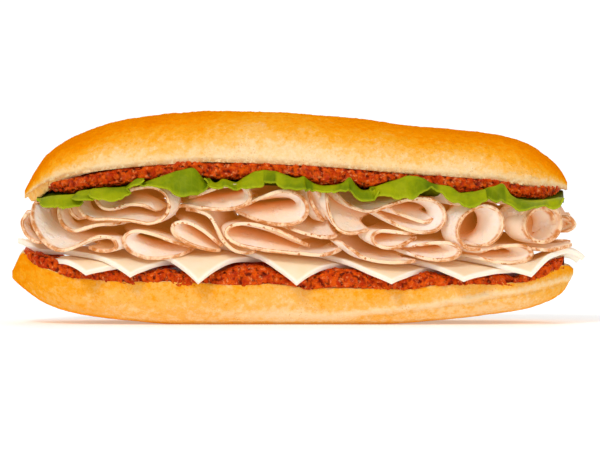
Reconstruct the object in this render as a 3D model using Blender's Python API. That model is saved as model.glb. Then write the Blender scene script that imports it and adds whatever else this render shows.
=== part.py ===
"""Submarine sandwich: a split roll with sauce, cheese, folded turkey slices and lettuce.

Sizes are in millimetres and become metres when a mesh is written.  +X runs along the roll, +Y away
from the long side that is looked at, +Z up.  The origin is the middle of the flat underside.  Every
layer runs through the sandwich from its front side (-Y) to its back side (+Y), which mirrors it.
"""
import math

import bmesh
import bpy
import numpy as np

MM = 0.001
SHARP_ANGLE = math.radians(50)

# Driving sizes ---------------------------------------------------------------------------------
TOP_ENDS = (-98.3, 96.8)
BOTTOM_ENDS = (-102.8, 99.0)
BREAD_HALF_WIDTH = 33.5
BREAD_END_POWERS = (4, 0.45)
BREAD_STATIONS = 26
BREAD_LIP = 1.4
FLAT_HALF_WIDTH = 19.0
CRUST_STEPS = 4
TOP_CROWN_POWERS = (0.75, 0.85)
TOP_CUT_RISE = 0.6
TOP_CUT_SHARES = (0.93, 0.62, 0.34)
TOP_ROOF_SHARE = 0.6
TOP_ROOF_POWERS = (2.67, 0.42)
BOTTOM_SIDE_POWERS = (0.8, 0.9)
BOTTOM_LIP_SHARE = 0.2
BOTTOM_DISH_SHARE = 0.4
BOTTOM_CUT_SHARES = (0.55, 0.93)
SAUCE_STATIONS = 22
TOP_SAUCE_ENDS = (-94.0, 93.5)
TOP_SAUCE_WIDTH = 0.92
TOP_SAUCE_SHARES = (0.0, 0.36, 0.65, 0.95)
BOTTOM_SAUCE_ENDS = (-98.0, 94.0)
BOTTOM_SAUCE_WIDTH = 0.95
BOTTOM_SAUCE_SECTION = ((0, 1), (0.8, 1), (0.93, 0.75), (1, 0.35), (0.97, 0), (0, 0))
BOTTOM_SAUCE_LEAST = 0.6
FILLING_HALF_WIDTH = 36.0
FILLING_HALF_LENGTH = 104.0
FILLING_END_POWER = 6
FILLING_LAST_SHARE = 0.96
MOUND_SHARE = 1.5
MOUND_HEIGHT = 6.0
GAP = 0.35
SAUCE_GAP = 0.6

TURKEY_THICK = 1.25
CHEESE_THICK = 1.6
CHEESE_CELLS = 8
CHEESE_PITCH = 2.25
CHEESE_HINGE = 28.0
CHEESE_MOUND = 3.0
CHEESE_END = 95.0
CHEESE_END_BEND = 9.0
LEAF_THICK = 0.9
LEAF_COLUMN = 4.0
LEAF_ROWS = 7
LEAF_UNDER_SAUCE = 1.45
SAUCE_UNDER_CHEESE = 2.9
LEAF_HANG_OUT = 3.6
LEAF_CREST_IN = 1.2
LEAF_BEND_IN = 4.6
SLICE_CORNER_ROUNDING = 2.5

# Lines along the roll: (x, height) stops, joined smoothly ------------------------------------------
TOP_CREST = ((-98.3, 47.4), (-96.6, 50.6), (-94.6, 54.4), (-90, 60.5), (-80, 67), (-60, 73),
             (-25, 75.7), (10, 74.2), (40, 70.6), (70, 67.4), (80, 65.3), (90, 59.5), (95, 53.8),
             (96.8, 50.5))
TOP_RIM = ((-98.3, 45.6), (-97, 46.5), (-91, 50.5), (-80, 53.5), (-50, 57), (-30, 58), (0, 57),
           (40, 54), (80, 50.6), (96.8, 49))
BOTTOM_RIM = ((-102.8, 18.6), (-98.6, 25.8), (-94.4, 22.2), (-89, 20), (-80, 17.3), (-60, 16),
              (-40, 15.8), (-25, 14.7), (-10, 15.3), (5, 14), (38, 13.4), (55, 15.4), (80, 15.3),
              (90, 19), (95, 21.3), (97.4, 20.8), (99, 19.4))
BOTTOM_BELLY = ((-102.8, 16.2), (-100.4, 13.8), (-96.7, 10.8), (-91, 7.2), (-84, 4.6), (-72, 2.4),
                (-60, 1.2), (-45, 0), (30, 0), (50, 1.3), (60, 2.2), (70, 3.5), (80, 5.1),
                (90, 8.2), (95, 11.2), (99, 17.6))
MOUND = ((-97, 0.8), (-88, 2.6), (-75, 4.6), (-55, 6), (45, 6), (65, 5), (80, 3.4), (97, 0.8))
FAN = ((-100, 4.5), (-60, 5.5), (-20, 5), (70, -4.5), (100, -5))
CHEESE_LEVEL = ((-101, 28), (-97, 27.4), (-92, 25.6), (-88, 24.4), (-84, 23.7), (-78, 23.2),
                (-65, 22.5), (-48, 21.8), (-30, 22.2), (-18, 22.6), (0, 22), (11, 21.6), (25, 21.1),
                (41, 20.5), (60, 20.2), (75, 19.8), (84, 20.8), (91, 23.8), (96, 25.2))
CHEESE_ORDER = ((-100, 0.5), (-76, 0.6), (-60, 0.95), (-45, 1.3), (-30, 1.5), (-15, 2.4), (0, 3),
                (20, 4), (35, 4.75), (60, 5.1), (80, 5.5), (100, 5.5))
CHEESE_BEND = ((-90, 22), (-76, 17), (-60, 18.5), (-36, 14), (0, 13.5), (17, 19), (33, 27), (60, 28),
               (72, 22), (84, 17))
TOP_SAUCE_DEPTH = ((-95, 1.6), (-85, 2.8), (-70, 3.2), (-50, 3.2), (-30, 4.2), (55, 4), (80, 3.4),
                   (88, 2.8), (95, 1.6))

# Cheese squares, corner forwards: name, centre x, centre y, front corner x, half diagonal ------------
CHEESE = (
    ("cheese_1", -73.1, -23.4, -75.9, 16.0),
    ("cheese_2", -59.9, 0.0, -59.9, 41.0),
    ("cheese_3", -34.0, 0.0, -35.7, 43.0),
    ("cheese_4", -2.0, 0.0, -0.4, 43.0),
    ("cheese_5", 28.0, 0.0, 33.5, 43.0),
    ("cheese_6", 60.0, 0.0, 59.2, 42.5),
    ("cheese_7", 79.0, -15.6, 83.4, 24.0),
)

# Lettuce leaves: name, ends, and the ruffles of their edge as (x, crest height, edge height) ---------
LETTUCE = (
    ("lettuce_1", ((-91.5, 47.5, 43.2), (-86, 48.2, 42.2), (-80, 48.6, 43), (-77, 48.8, 45.4),
                   (-71, 49, 44.4), (-65, 50, 44.8), (-60, 52.4, 47.6), (-56.5, 53, 50))),
    ("lettuce_2", ((-55.4, 53, 51.3), (-52, 52.8, 50.8), (-48, 54, 49.2), (-40, 56.8, 46.8),
                   (-34.5, 54.4, 48.6), (-32, 53, 50.6))),
    ("lettuce_3", ((-30.9, 52.8, 50.6), (-28.5, 52.4, 49.3), (-22, 54.3, 50.8), (-15, 55.2, 49.6),
                   (-10, 56.2, 52.2), (-5, 55.4, 49.9), (2, 54.8, 49), (9, 53.4, 49.8),
                   (12, 53, 48.9), (18, 54, 52), (22.5, 52.6, 45.8), (26.4, 52.2, 47.4))),
    ("lettuce_4", ((27.5, 52.4, 48.4), (29.5, 52.4, 47.2), (35, 54, 46), (40, 54, 45.6),
                   (48, 52.2, 48.8), (54, 51.4, 49.2), (59.5, 50.6, 43.4), (66, 50.4, 45.4),
                   (72, 50.4, 46.6), (78.5, 49, 41.6), (84, 48.6, 43.4), (92.8, 48, 43.2))),
)


def smooth(stops, x):
    """Return the height at x of a smooth line through the stops that never overshoots them."""
    px, pz = (np.array(column, float) for column in zip(*stops))
    step = np.diff(px)
    slope = np.diff(pz) / step
    tangent = np.zeros(len(px))
    for k in range(1, len(px) - 1):
        if slope[k - 1] * slope[k] > 0:
            before = 2 * step[k] + step[k - 1]
            after = step[k] + 2 * step[k - 1]
            tangent[k] = (before + after) / (before / slope[k - 1] + after / slope[k])
    tangent[0] = slope[0]
    tangent[-1] = slope[-1]
    x = min(max(x, px[0]), px[-1])
    k = min(int(np.searchsorted(px, x, side="right")) - 1, len(step) - 1)
    t = (x - px[k]) / step[k]
    return float((1 + 2 * t) * (1 - t) ** 2 * pz[k] + t * (1 - t) ** 2 * step[k] * tangent[k]
                 + t * t * (3 - 2 * t) * pz[k + 1] + t * t * (t - 1) * step[k] * tangent[k + 1])


def bread_half_width(x, ends):
    """Return half the width of a roll half at x: parallel sides with rounded ends."""
    middle = (ends[0] + ends[1]) / 2
    share = min(1.0, abs(x - middle) / (ends[1] - middle))
    sharpness, fullness = BREAD_END_POWERS
    return BREAD_HALF_WIDTH * (1 - share ** sharpness) ** fullness


def filling_half_width(x):
    """Return how far from the centre line the filling's slices reach at x."""
    share = min(FILLING_LAST_SHARE, abs(x) / FILLING_HALF_LENGTH)
    return FILLING_HALF_WIDTH * math.sqrt(1 - share ** FILLING_END_POWER)


def mound_share(x, y):
    """Return 0 at the filling's edge and 1 over its middle third."""
    return min(1.0, MOUND_SHARE * (1 - abs(y) / filling_half_width(x)))


# Folded slices as paths in the front plane -----------------------------------------------------------
def drape(*points):
    """Return a smooth path through the points, as a sheet that is laid over and between others."""
    p = np.array(points, float)
    p = np.vstack([2 * p[0] - p[1], p, 2 * p[-1] - p[-2]])
    path = []
    for a, b, c, d in zip(p, p[1:], p[2:], p[3:]):
        ta = 0.0
        tb = ta + math.sqrt(np.linalg.norm(b - a))
        tc = tb + math.sqrt(np.linalg.norm(c - b))
        td = tc + math.sqrt(np.linalg.norm(d - c))
        for t in np.linspace(tb, tc, 12, endpoint=False):
            ab = (tb - t) / (tb - ta) * a + (t - ta) / (tb - ta) * b
            bc = (tc - t) / (tc - tb) * b + (t - tb) / (tc - tb) * c
            cd = (td - t) / (td - tc) * c + (t - tc) / (td - tc) * d
            abc = (tc - t) / (tc - ta) * ab + (t - ta) / (tc - ta) * bc
            bcd = (td - t) / (td - tb) * bc + (t - tb) / (td - tb) * cd
            path.append((tc - t) / (tc - tb) * abc + (t - tb) / (tc - tb) * bcd)
    path.append(p[-2])
    return np.array(path)


def teardrop(nose, tail, girth, bow=0.0, above=None, below=None, point=1.2, steps=36):
    """Return the path of a sheet folded over: round at the nose, its two layers meeting at the tail.

    bow lifts its middle.  above and below let the upper or the lower layer run on to a place.
    """
    nose = np.array(nose, float)
    tail = np.array(tail, float)
    axis = nose - tail
    up = np.array([-axis[1], axis[0]]) / np.linalg.norm(axis)
    if up[1] < 0:
        up = -up
    half_layers = (TURKEY_THICK + GAP + 0.1) / 2
    turn = np.linspace(0, 2 * math.pi, steps + 1)
    side = np.sin(turn) * np.abs(np.sin(turn / 2)) ** point
    side = side / np.abs(side).max() * (girth - TURKEY_THICK) / 2
    side = side + half_layers * 1.02 * np.cos(turn / 2)
    along = (1 - np.cos(turn)) / 2
    path = tail + np.outer(along, axis) + np.outer(side + bow * 4 * along * (1 - along), up)
    if above is not None:
        path = np.vstack([run_on(path[1], path[0], above)[::-1], path])
    if below is not None:
        path = np.vstack([path, run_on(path[-2], path[-1], below)])
    return path


def roll(centre, radius, growth, turns, start, squash=1.0, tilt=0.0, to=None):
    """Return the path of a rolled-up sheet, from its inner end out; angles are in degrees."""
    angle = np.linspace(0, 2 * math.pi * turns, int(48 * turns) + 1)
    distance = radius + growth * angle / (2 * math.pi)
    x = distance * np.cos(angle + math.radians(start))
    z = distance * squash * np.sin(angle + math.radians(start))
    cos_tilt = math.cos(math.radians(tilt))
    sin_tilt = math.sin(math.radians(tilt))
    path = np.column_stack([centre[0] + x * cos_tilt - z * sin_tilt,
                            centre[1] + x * sin_tilt + z * cos_tilt])
    if to is not None:
        path = np.vstack([path, run_on(path[-2], path[-1], to)])
    return path


def run_on(before, start, end):
    """Return points that leave start in the direction from before, and bend to end."""
    direction = (start - before) / np.linalg.norm(start - before)
    end = np.array(end, float)
    pull = start + direction * np.linalg.norm(end - start) / 2
    t = np.linspace(0, 1, 9)[1:, None]
    return (1 - t) ** 2 * start + 2 * t * (1 - t) * pull + t * t * end


def slice_paths():
    """Return every turkey slice as name: (path at the edge, path in the middle, edge forward by)."""
    def fold(edge, middle=None, forward=0.0):
        return edge, edge if middle is None else middle, forward

    def loop(nose, tail, girth, pinch=0.45, forward=0.0, **ways):
        return (teardrop(nose, tail, girth, **ways),
                teardrop(nose, tail, girth * (1 - pinch), **ways), forward)

    return {
        "turkey_end_leaf": fold(drape((-97.4, 39.6), (-99.2, 36.6), (-97.9, 32.4), (-95.2, 30),
                                      (-92.3, 29))),
        "turkey_left_cup": fold(
            drape((-95.2, 42.5), (-95.8, 38), (-93.6, 32.8), (-89.6, 28.4), (-85.3, 26.7),
                  (-80.5, 27.9), (-75.5, 30.6), (-70, 32.2), (-66.3, 31), (-65.2, 28.3),
                  (-67.5, 26.6), (-71.5, 26.2), (-75, 26.8)),
            drape((-88.6, 43), (-88.2, 38.6), (-86.4, 35), (-83.4, 32.5), (-80.6, 31.2),
                  (-78, 30.4), (-75.5, 29.8), (-70, 29.4), (-66.6, 29), (-65.4, 27.6),
                  (-67.5, 26.4), (-71.5, 26.2), (-75, 26.8)), forward=1.2),
        "turkey_cup_lining_1": fold(drape((-86, 43), (-85.6, 38), (-83.6, 34.8), (-80, 33.4),
                                          (-76, 34.5), (-71, 35.5), (-66.5, 35.4), (-63, 35.3)),
                                    forward=-1.5),
        "turkey_cup_lining_2": fold(drape((-82.5, 42.5), (-80.9, 38.9), (-78.4, 36.9)), forward=-3),
        "turkey_upper_fold": fold(
            drape((-79.6, 43.4), (-77.5, 39.4), (-74, 37.9), (-68, 38.1), (-60, 37.7), (-53, 36.7),
                  (-48.4, 38.8), (-46.4, 43), (-47.8, 47.2), (-52.5, 49.4), (-58, 48.6),
                  (-63.5, 46.2)), forward=0.8),
        "turkey_inner_wave": fold(drape((-73.5, 45), (-70.5, 41.8), (-66.5, 41.2), (-61, 42.8),
                                        (-55.5, 42.4), (-51.2, 39.8)), forward=-1.5),
        "turkey_low_loop_1": loop((-62.6, 30.9), (-39, 25.8), 9.1, bow=-0.4),
        "turkey_top_loop_1": loop((-16.8, 46.9), (-39, 43.4), 8.6, bow=0.3, below=(-44.6, 40.6),
                                  forward=0.5),
        "turkey_left_loop": loop((-45, 35.6), (-27.3, 25.9), 7.2, bow=0.5, forward=-0.5),
        "turkey_arch": fold(drape((-40.2, 40.2), (-36.5, 40.5), (-32, 39), (-28.8, 34.2),
                                  (-26.4, 30), (-22, 26.2), (-15, 25)), forward=-1),
        "turkey_mid_loop_1": loop((-25.6, 33.7), (4, 26.4), 9, bow=1, below=(15.6, 25.9),
                                  forward=1),
        "turkey_broad_face": fold(
            drape((-4.4, 34.6), (-1, 33.7), (3, 32.3), (8, 31.2), (11, 30.8), (14, 30.8)),
            drape((-4.4, 34.6), (-1, 34.1), (3, 34), (8, 33.6), (12.8, 34.9), (17.5, 38.4)),
            forward=-1.5),
        "turkey_top_loop_2": loop((3.6, 42.4), (-20.8, 39.7), 12.6, bow=0.9, pinch=0.6,
                                  forward=1),
        "turkey_pinch": loop((5, 49.2), (10.2, 36.4), 4.2, pinch=0, forward=-1),
        "turkey_flap": fold(
            drape((10.4, 48.5), (11.4, 41), (14.6, 34.6), (19, 33), (25.4, 33.6)),
            drape((10.4, 48.5), (12.4, 44.1), (16.4, 41.7), (21.4, 39.5), (28.8, 36.8)), forward=1.5),
        "turkey_top_loop_3": loop((53, 38.8), (28, 40.4), 12.6, above=(14.3, 46.2), pinch=0.2,
                                  forward=0.5),
        "turkey_loop_lining": fold(drape((33, 41.2), (37, 39.6), (41.5, 37.6), (46.5, 36.6),
                                         (50.2, 38)), forward=-1.5),
        "turkey_mid_loop_2": loop((27, 31.2), (42.5, 30.8), 6.2, bow=-0.5, forward=-0.5),
        "turkey_low_sheet": fold(drape((16, 29.2), (20, 27), (24.5, 24.3), (31, 23.1), (37, 22.8),
                                       (42, 22.6)), forward=1.5),
        "turkey_low_loop_2": loop((58.3, 26.6), (39, 26), 6.6, bow=0.3, forward=0.5),
        "turkey_roll_1": (roll((66, 35.2), 7.5, 1.8, 1.1, 205, squash=0.85, tilt=38),
                          roll((66, 35.2), 7.5, 1.8, 1.1, 205, squash=0.6, tilt=38), 1),
        "turkey_cover": fold(drape((49, 47), (52.4, 46), (55.4, 43.4), (58.6, 42.9), (62, 44.3),
                                   (67, 44.7), (73, 44), (78, 42.4)), forward=-2),
        "turkey_low_loop_3": loop((84.2, 25.6), (64.9, 24), 6.6, bow=0.5, pinch=0.25),
        "turkey_roll_2": fold(roll((87.6, 36), 4.6, 2.1, 1.62, 300, to=(75.6, 37.8)), forward=-0.5),
        "turkey_tip_1": fold(drape((96.8, 38.6), (99.8, 35.2), (96.6, 32.6)), forward=-3),
        "turkey_tip_2": fold(drape((85.2, 27.3), (91, 26.9), (98.3, 28.4)), forward=1),
    }


def bend_stations(path, turn=math.radians(34), longest=11.0):
    """Return indices along the path, closer where it turns, so that its facets stay true."""
    kept = [0]
    turned = 0.0
    travelled = 0.0
    for k in range(1, len(path) - 1):
        before = path[k] - path[k - 1]
        after = path[k + 1] - path[k]
        turned += abs(math.atan2(before[0] * after[1] - before[1] * after[0], before @ after))
        travelled += np.linalg.norm(before)
        if turned > turn or travelled > longest:
            kept.append(k)
            turned = 0.0
            travelled = 0.0
    kept.append(len(path) - 1)
    return kept


# Meshes ----------------------------------------------------------------------------------------------
def material(name, colour, roughness):
    """Return a plain material of one colour."""
    made = bpy.data.materials.new(name)
    made.use_nodes = True
    shader = made.node_tree.nodes["Principled BSDF"]
    shader.inputs["Base Color"].default_value = (*colour, 1)
    shader.inputs["Roughness"].default_value = roughness
    shader.inputs["Metallic"].default_value = 0
    return made


def add_object(name, mesh_data, look):
    """Write the bmesh to a named object of one material."""
    mesh = bpy.data.meshes.new(name)
    mesh_data.to_mesh(mesh)
    mesh_data.free()
    mesh.materials.append(look)
    mesh.shade_smooth()
    mesh.set_sharp_from_angle(angle=SHARP_ANGLE)
    made = bpy.data.objects.new(name, mesh)
    bpy.context.collection.objects.link(made)
    return made


def sheet(name, columns, rows, place, thick, look):
    """Make a slice: a grid of columns by rows cells, set by place(column, row), given a thickness."""
    grid = bmesh.new()
    bmesh.ops.create_grid(grid, x_segments=columns, y_segments=rows, size=0.5)
    for vert in grid.verts:
        column = round((vert.co.x + 0.5) * columns)
        row = round((vert.co.y + 0.5) * rows)
        vert.co = [value * MM for value in place(column, row)]
    made = add_object(name, grid, look)
    solid = made.modifiers.new("thickness", "SOLIDIFY")
    solid.thickness = thick * MM
    solid.offset = 0
    solid.use_even_offset = True
    return made


def loft(name, stations, ring, look):
    """Make a closed body from the ring of points at each station along the roll."""
    body = bmesh.new()
    rings = []
    for x in stations:
        verts = [body.verts.new((x * MM, y * MM, z * MM)) for y, z in ring(x)]
        rings.append([body.edges.new(pair) for pair in zip(verts, verts[1:] + verts[:1])])
    for near, far in zip(rings, rings[1:]):
        bmesh.ops.bridge_loops(body, edges=near + far)
    bmesh.ops.holes_fill(body, edges=rings[0] + rings[-1], sides=0)
    bmesh.ops.recalc_face_normals(body, faces=body.faces)
    return add_object(name, body, look)


def rounded_stations(ends, count):
    """Return places from end to end that crowd towards the ends."""
    middle = (ends[0] + ends[1]) / 2
    half = (ends[1] - ends[0]) / 2
    return [middle - half * 0.998 * math.cos(math.pi * k / count) for k in range(count + 1)]


# Sub-parts -------------------------------------------------------------------------------------------
def top_cut_height(x, y):
    """Return the height of the upper half's cut face, which is pressed up over the mound."""
    return smooth(TOP_RIM, x) + TOP_CUT_RISE + smooth(MOUND, x) * max(0.0, mound_share(x, y))


def quarter_turn(across_power, up_power):
    """Return points of a rounded quarter turn, from straight across to straight up, as shares."""
    angles = [math.pi / 2 * k / CRUST_STEPS for k in range(CRUST_STEPS + 1)]
    return [(max(0.0, math.cos(angle)) ** across_power, math.sin(angle) ** up_power)
            for angle in angles]


def top_ring(x):
    """Return the upper half's section: its domed crust and its hollow cut face."""
    rim = smooth(TOP_RIM, x)
    rise = smooth(TOP_CREST, x) - rim
    half = bread_half_width(x, TOP_ENDS)
    side = []
    for across, up in quarter_turn(*TOP_CROWN_POWERS)[::-1]:
        side.append((half * across, rim + rise * up))
    for share in TOP_CUT_SHARES:
        roof = rise * (1 - share ** TOP_ROOF_POWERS[0]) ** TOP_ROOF_POWERS[1]
        side.append((half * share, min(top_cut_height(x, half * share),
                                       rim + TOP_ROOF_SHARE * roof)))
    side[0] = (0, rim + rise)
    side.append((0, side[-1][1]))
    return mirrored_between(side)


def mirrored_between(side):
    """Return a ring from a +Y side whose first and last points lie on the centre line."""
    return side + [(-y, z) for y, z in side[-2:0:-1]]


def bottom_ring(x):
    """Return the lower half's section: cut face, rounded lip, bulging side and flat underside."""
    rim = smooth(BOTTOM_RIM, x)
    belly = smooth(BOTTOM_BELLY, x)
    half = bread_half_width(x, BOTTOM_ENDS)
    flat = FLAT_HALF_WIDTH * half / BREAD_HALF_WIDTH
    lip = min(BREAD_LIP, BOTTOM_LIP_SHARE * (rim - belly))
    dish = rim - BOTTOM_DISH_SHARE * lip
    inner, outer = BOTTOM_CUT_SHARES
    side = [(0, dish), (inner * half, dish), (outer * half, rim)]
    for across, down in quarter_turn(*BOTTOM_SIDE_POWERS):
        side.append((flat + (half - flat) * across, rim - lip - (rim - lip - belly) * down))
    side.append((0, belly))
    return mirrored_between(side)


def bottom_sauce_ring(x):
    """Return the lower sauce's section: flat under the cheese, with a rounded shoulder."""
    half = bread_half_width(x, BOTTOM_ENDS) * BOTTOM_SAUCE_WIDTH
    floor = smooth(BOTTOM_RIM, x) + SAUCE_GAP
    depth = max(smooth(CHEESE_LEVEL, x) - SAUCE_UNDER_CHEESE - floor, BOTTOM_SAUCE_LEAST)
    return mirrored_between([(half * across, floor + depth * up)
                             for across, up in BOTTOM_SAUCE_SECTION])


def top_sauce_ring(x):
    """Return the upper sauce's section, between the lettuce and the cut face above."""
    half = bread_half_width(x, TOP_ENDS) * TOP_SAUCE_WIDTH
    depth = smooth(TOP_SAUCE_DEPTH, x)
    cut = [(half * share, top_cut_height(x, half * share)) for share in TOP_SAUCE_SHARES]
    above = [(y, z - SAUCE_GAP) for y, z in cut]
    below = [(y, z - depth) for y, z in reversed(cut)]
    return mirrored_between(above + [(half, above[-1][1] - depth / 2)] + below)


def cheese_place(slice_index, flat_x, flat_y):
    """Return where a point of a flat slice lies: stacked, mounded, and bent down past the hinge."""
    bend = smooth(CHEESE_BEND, flat_x)
    past = max(0.0, abs(flat_y) - CHEESE_HINGE)
    angle = past / bend
    level = (smooth(CHEESE_LEVEL, flat_x) + CHEESE_MOUND * max(0.0, mound_share(flat_x, flat_y))
             * smooth(MOUND, flat_x) / MOUND_HEIGHT)
    lift = CHEESE_PITCH * (slice_index - smooth(CHEESE_ORDER, flat_x))
    y = math.copysign(min(abs(flat_y), CHEESE_HINGE) + bend * math.sin(angle)
                      + lift * math.sin(angle), flat_y)
    z = level - bend * (1 - math.cos(angle)) + lift * math.cos(angle)
    droop = max(0.0, flat_x - CHEESE_END) / CHEESE_END_BEND
    x = min(flat_x, CHEESE_END) + (CHEESE_END_BEND + lift) * math.sin(droop)
    return x, y, z - (CHEESE_END_BEND + lift) * (1 - math.cos(droop))


def add_cheese(look):
    """Add the cheese squares, each laid over its left neighbour."""
    for index, (name, centre_x, centre_y, corner_x, half_diagonal) in enumerate(CHEESE):
        turn = math.asin((corner_x - centre_x) / half_diagonal)
        ahead = (math.sin(turn), -math.cos(turn))
        aside = (math.cos(turn), math.sin(turn))

        def place(column, row):
            a = column / CHEESE_CELLS + row / CHEESE_CELLS - 1
            b = column / CHEESE_CELLS - row / CHEESE_CELLS
            return cheese_place(index,
                                centre_x + half_diagonal * (a * ahead[0] + b * aside[0]),
                                centre_y + half_diagonal * (a * ahead[1] + b * aside[1]))

        sheet(name, CHEESE_CELLS, CHEESE_CELLS, place, CHEESE_THICK, look)


def add_turkey(look):
    """Add the folded slices: the edge path at both sides, mounded and fanned over the middle."""
    for name, (edge, middle, forward) in slice_paths().items():
        kept = bend_stations(edge)
        last = len(kept) - 1

        def place(column, row):
            x, z = edge[kept[column]]
            half = filling_half_width(x)
            if row in (0, 3):
                reach = forward - SLICE_CORNER_ROUNDING * (2 * column / last - 1) ** 2
                y = half + reach
                share = -MOUND_SHARE * reach / half
            else:
                y = half / 3
                share = 1.0
            mid_x, mid_z = middle[kept[column]]
            x += (mid_x - x + smooth(FAN, x)) * share
            z += (mid_z - z + smooth(MOUND, edge[kept[column]][0])) * share
            return x, y if row > 1 else -y, z

        sheet(name, last, 3, place, TURKEY_THICK, look)


def leaf_plateau(x):
    """Return the height of the lettuce under the upper sauce at the filling's edge."""
    return (smooth(TOP_RIM, x) + TOP_CUT_RISE - smooth(TOP_SAUCE_DEPTH, x)
            - LEAF_UNDER_SAUCE)


def add_lettuce(look):
    """Add the leaves: flat under the sauce, with a ruffled edge that rises and hangs outside."""
    for name, ruffles in LETTUCE:
        start = ruffles[0][0]
        end = ruffles[-1][0]
        columns = max(8, round((end - start) / LEAF_COLUMN))
        crests = [(x, crest) for x, crest, _ in ruffles]
        edges = [(x, edge) for x, _, edge in ruffles]

        def place(column, row):
            x = start + (end - start) * column / columns
            half = filling_half_width(x)
            flat = leaf_plateau(x)
            side = abs(row - LEAF_ROWS / 2)
            if side > 3:
                y, z = half + LEAF_HANG_OUT, smooth(edges, x)
            elif side > 2:
                y, z = half - LEAF_CREST_IN, max(smooth(crests, x), flat)
            elif side > 1:
                y = half - LEAF_BEND_IN
                z = flat + smooth(MOUND, x) * mound_share(x, y)
            else:
                y, z = half / 3, flat + smooth(MOUND, x)
            return x, math.copysign(y, row - LEAF_ROWS / 2), z

        sheet(name, columns, LEAF_ROWS, place, LEAF_THICK, look)


def main():
    """Build the sandwich."""
    for old in list(bpy.data.objects):
        bpy.data.objects.remove(old, do_unlink=True)
    crust = material("crust", (0.78, 0.45, 0.15), 0.55)
    sauce = material("sauce", (0.52, 0.09, 0.02), 0.3)
    cheese = material("cheese", (0.93, 0.83, 0.58), 0.45)
    turkey = material("turkey", (0.88, 0.68, 0.52), 0.45)
    lettuce = material("lettuce", (0.35, 0.5, 0.03), 0.4)
    loft("bread_bottom", rounded_stations(BOTTOM_ENDS, BREAD_STATIONS), bottom_ring, crust)
    loft("sauce_bottom", rounded_stations(BOTTOM_SAUCE_ENDS, SAUCE_STATIONS), bottom_sauce_ring,
         sauce)
    add_cheese(cheese)
    add_turkey(turkey)
    add_lettuce(lettuce)
    loft("sauce_top", rounded_stations(TOP_SAUCE_ENDS, SAUCE_STATIONS), top_sauce_ring, sauce)
    loft("bread_top", rounded_stations(TOP_ENDS, BREAD_STATIONS), top_ring, crust)


main()
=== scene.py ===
"""Looks of a submarine sandwich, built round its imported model.

Lengths in the layout are in millimetres and become metres when a mesh is written.  +X runs along the
roll, +Y away from the side that is looked at, +Z up, and the flat underside lies at height zero.
"""
import logging
import math
from collections.abc import Callable, Sequence
from dataclasses import dataclass, field
from enum import Enum

import bmesh
import bpy
import numpy as np
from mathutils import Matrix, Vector, noise


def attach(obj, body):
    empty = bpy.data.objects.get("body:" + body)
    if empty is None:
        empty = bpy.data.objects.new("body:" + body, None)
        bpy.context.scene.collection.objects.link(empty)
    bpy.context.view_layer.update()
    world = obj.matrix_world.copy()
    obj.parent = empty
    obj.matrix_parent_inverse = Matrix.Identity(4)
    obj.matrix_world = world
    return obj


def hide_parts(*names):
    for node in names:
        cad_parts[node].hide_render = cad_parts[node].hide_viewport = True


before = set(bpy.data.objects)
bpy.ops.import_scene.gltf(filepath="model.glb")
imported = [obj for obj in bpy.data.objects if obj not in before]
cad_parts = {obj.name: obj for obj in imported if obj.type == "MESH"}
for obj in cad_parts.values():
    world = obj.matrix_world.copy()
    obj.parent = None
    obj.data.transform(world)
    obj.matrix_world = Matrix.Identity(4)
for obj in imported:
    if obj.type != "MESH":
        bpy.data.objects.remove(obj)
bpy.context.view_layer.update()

LOG = logging.getLogger("sandwich")
MM = 0.001
BODY = "root"
Point = tuple[float, float, float]


def srgb(red: float, green: float, blue: float) -> tuple[float, float, float, float]:
    """Return the linear colour of display values from 0 to 255."""
    def linear(value: float) -> float:
        """Return one channel in linear light."""
        share = value / 255
        return share / 12.92 if share <= 0.04045 else ((share + 0.055) / 1.055) ** 2.4
    return linear(red), linear(green), linear(blue), 1.0


def wobble(x: float, y: float, z: float, size: float, octaves: int = 2) -> float:
    """Return smooth noise from about -1 to 1.

    Args:
        x, y, z: place in millimetres.
        size: width of its largest bumps in millimetres.
        octaves: layers of finer bumps.

    Returns:
        The noise at that place.
    """
    return noise.fractal(Vector((x / size, y / size, z / size)), 1.0, 2.0, octaves)


def lumps(x: float, y: float, z: float, size: float) -> float:
    """Return rounded lumps, 1 at the middle of each and 0 in the creases between them."""
    distances, _ = noise.voronoi(Vector((x / size, y / size, z / size)))
    return min(1.0, (distances[1] - distances[0]) * 1.6)


@dataclass(frozen=True)
class Line:
    """A smooth height along the roll that never overshoots its (x, height) stops."""

    stops: tuple[tuple[float, float], ...]

    def at(self, x: float) -> float:
        """Return the height at x."""
        px, pz, tangent = self._shape()
        x = min(max(x, px[0]), px[-1])
        k = min(int(np.searchsorted(px, x, side="right")) - 1, len(px) - 2)
        step = px[k + 1] - px[k]
        t = (x - px[k]) / step
        return float((1 + 2 * t) * (1 - t) ** 2 * pz[k] + t * (1 - t) ** 2 * step * tangent[k]
                     + t * t * (3 - 2 * t) * pz[k + 1] + t * t * (t - 1) * step * tangent[k + 1])

    def _shape(self) -> tuple[np.ndarray, np.ndarray, np.ndarray]:
        """Return the stops' places and heights and the slope at each, worked out once."""
        if self.stops not in _LINES:
            px, pz = (np.array(column, float) for column in zip(*self.stops))
            step = np.diff(px)
            slope = np.diff(pz) / step
            tangent = np.zeros(len(px))
            for k in range(1, len(px) - 1):
                if slope[k - 1] * slope[k] > 0:
                    before = 2 * step[k] + step[k - 1]
                    after = step[k] + 2 * step[k - 1]
                    tangent[k] = (before + after) / (before / slope[k - 1] + after / slope[k])
            tangent[0] = slope[0]
            tangent[-1] = slope[-1]
            _LINES[self.stops] = (px, pz, tangent)
        return _LINES[self.stops]


_LINES: dict[tuple, tuple[np.ndarray, np.ndarray, np.ndarray]] = {}


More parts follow.
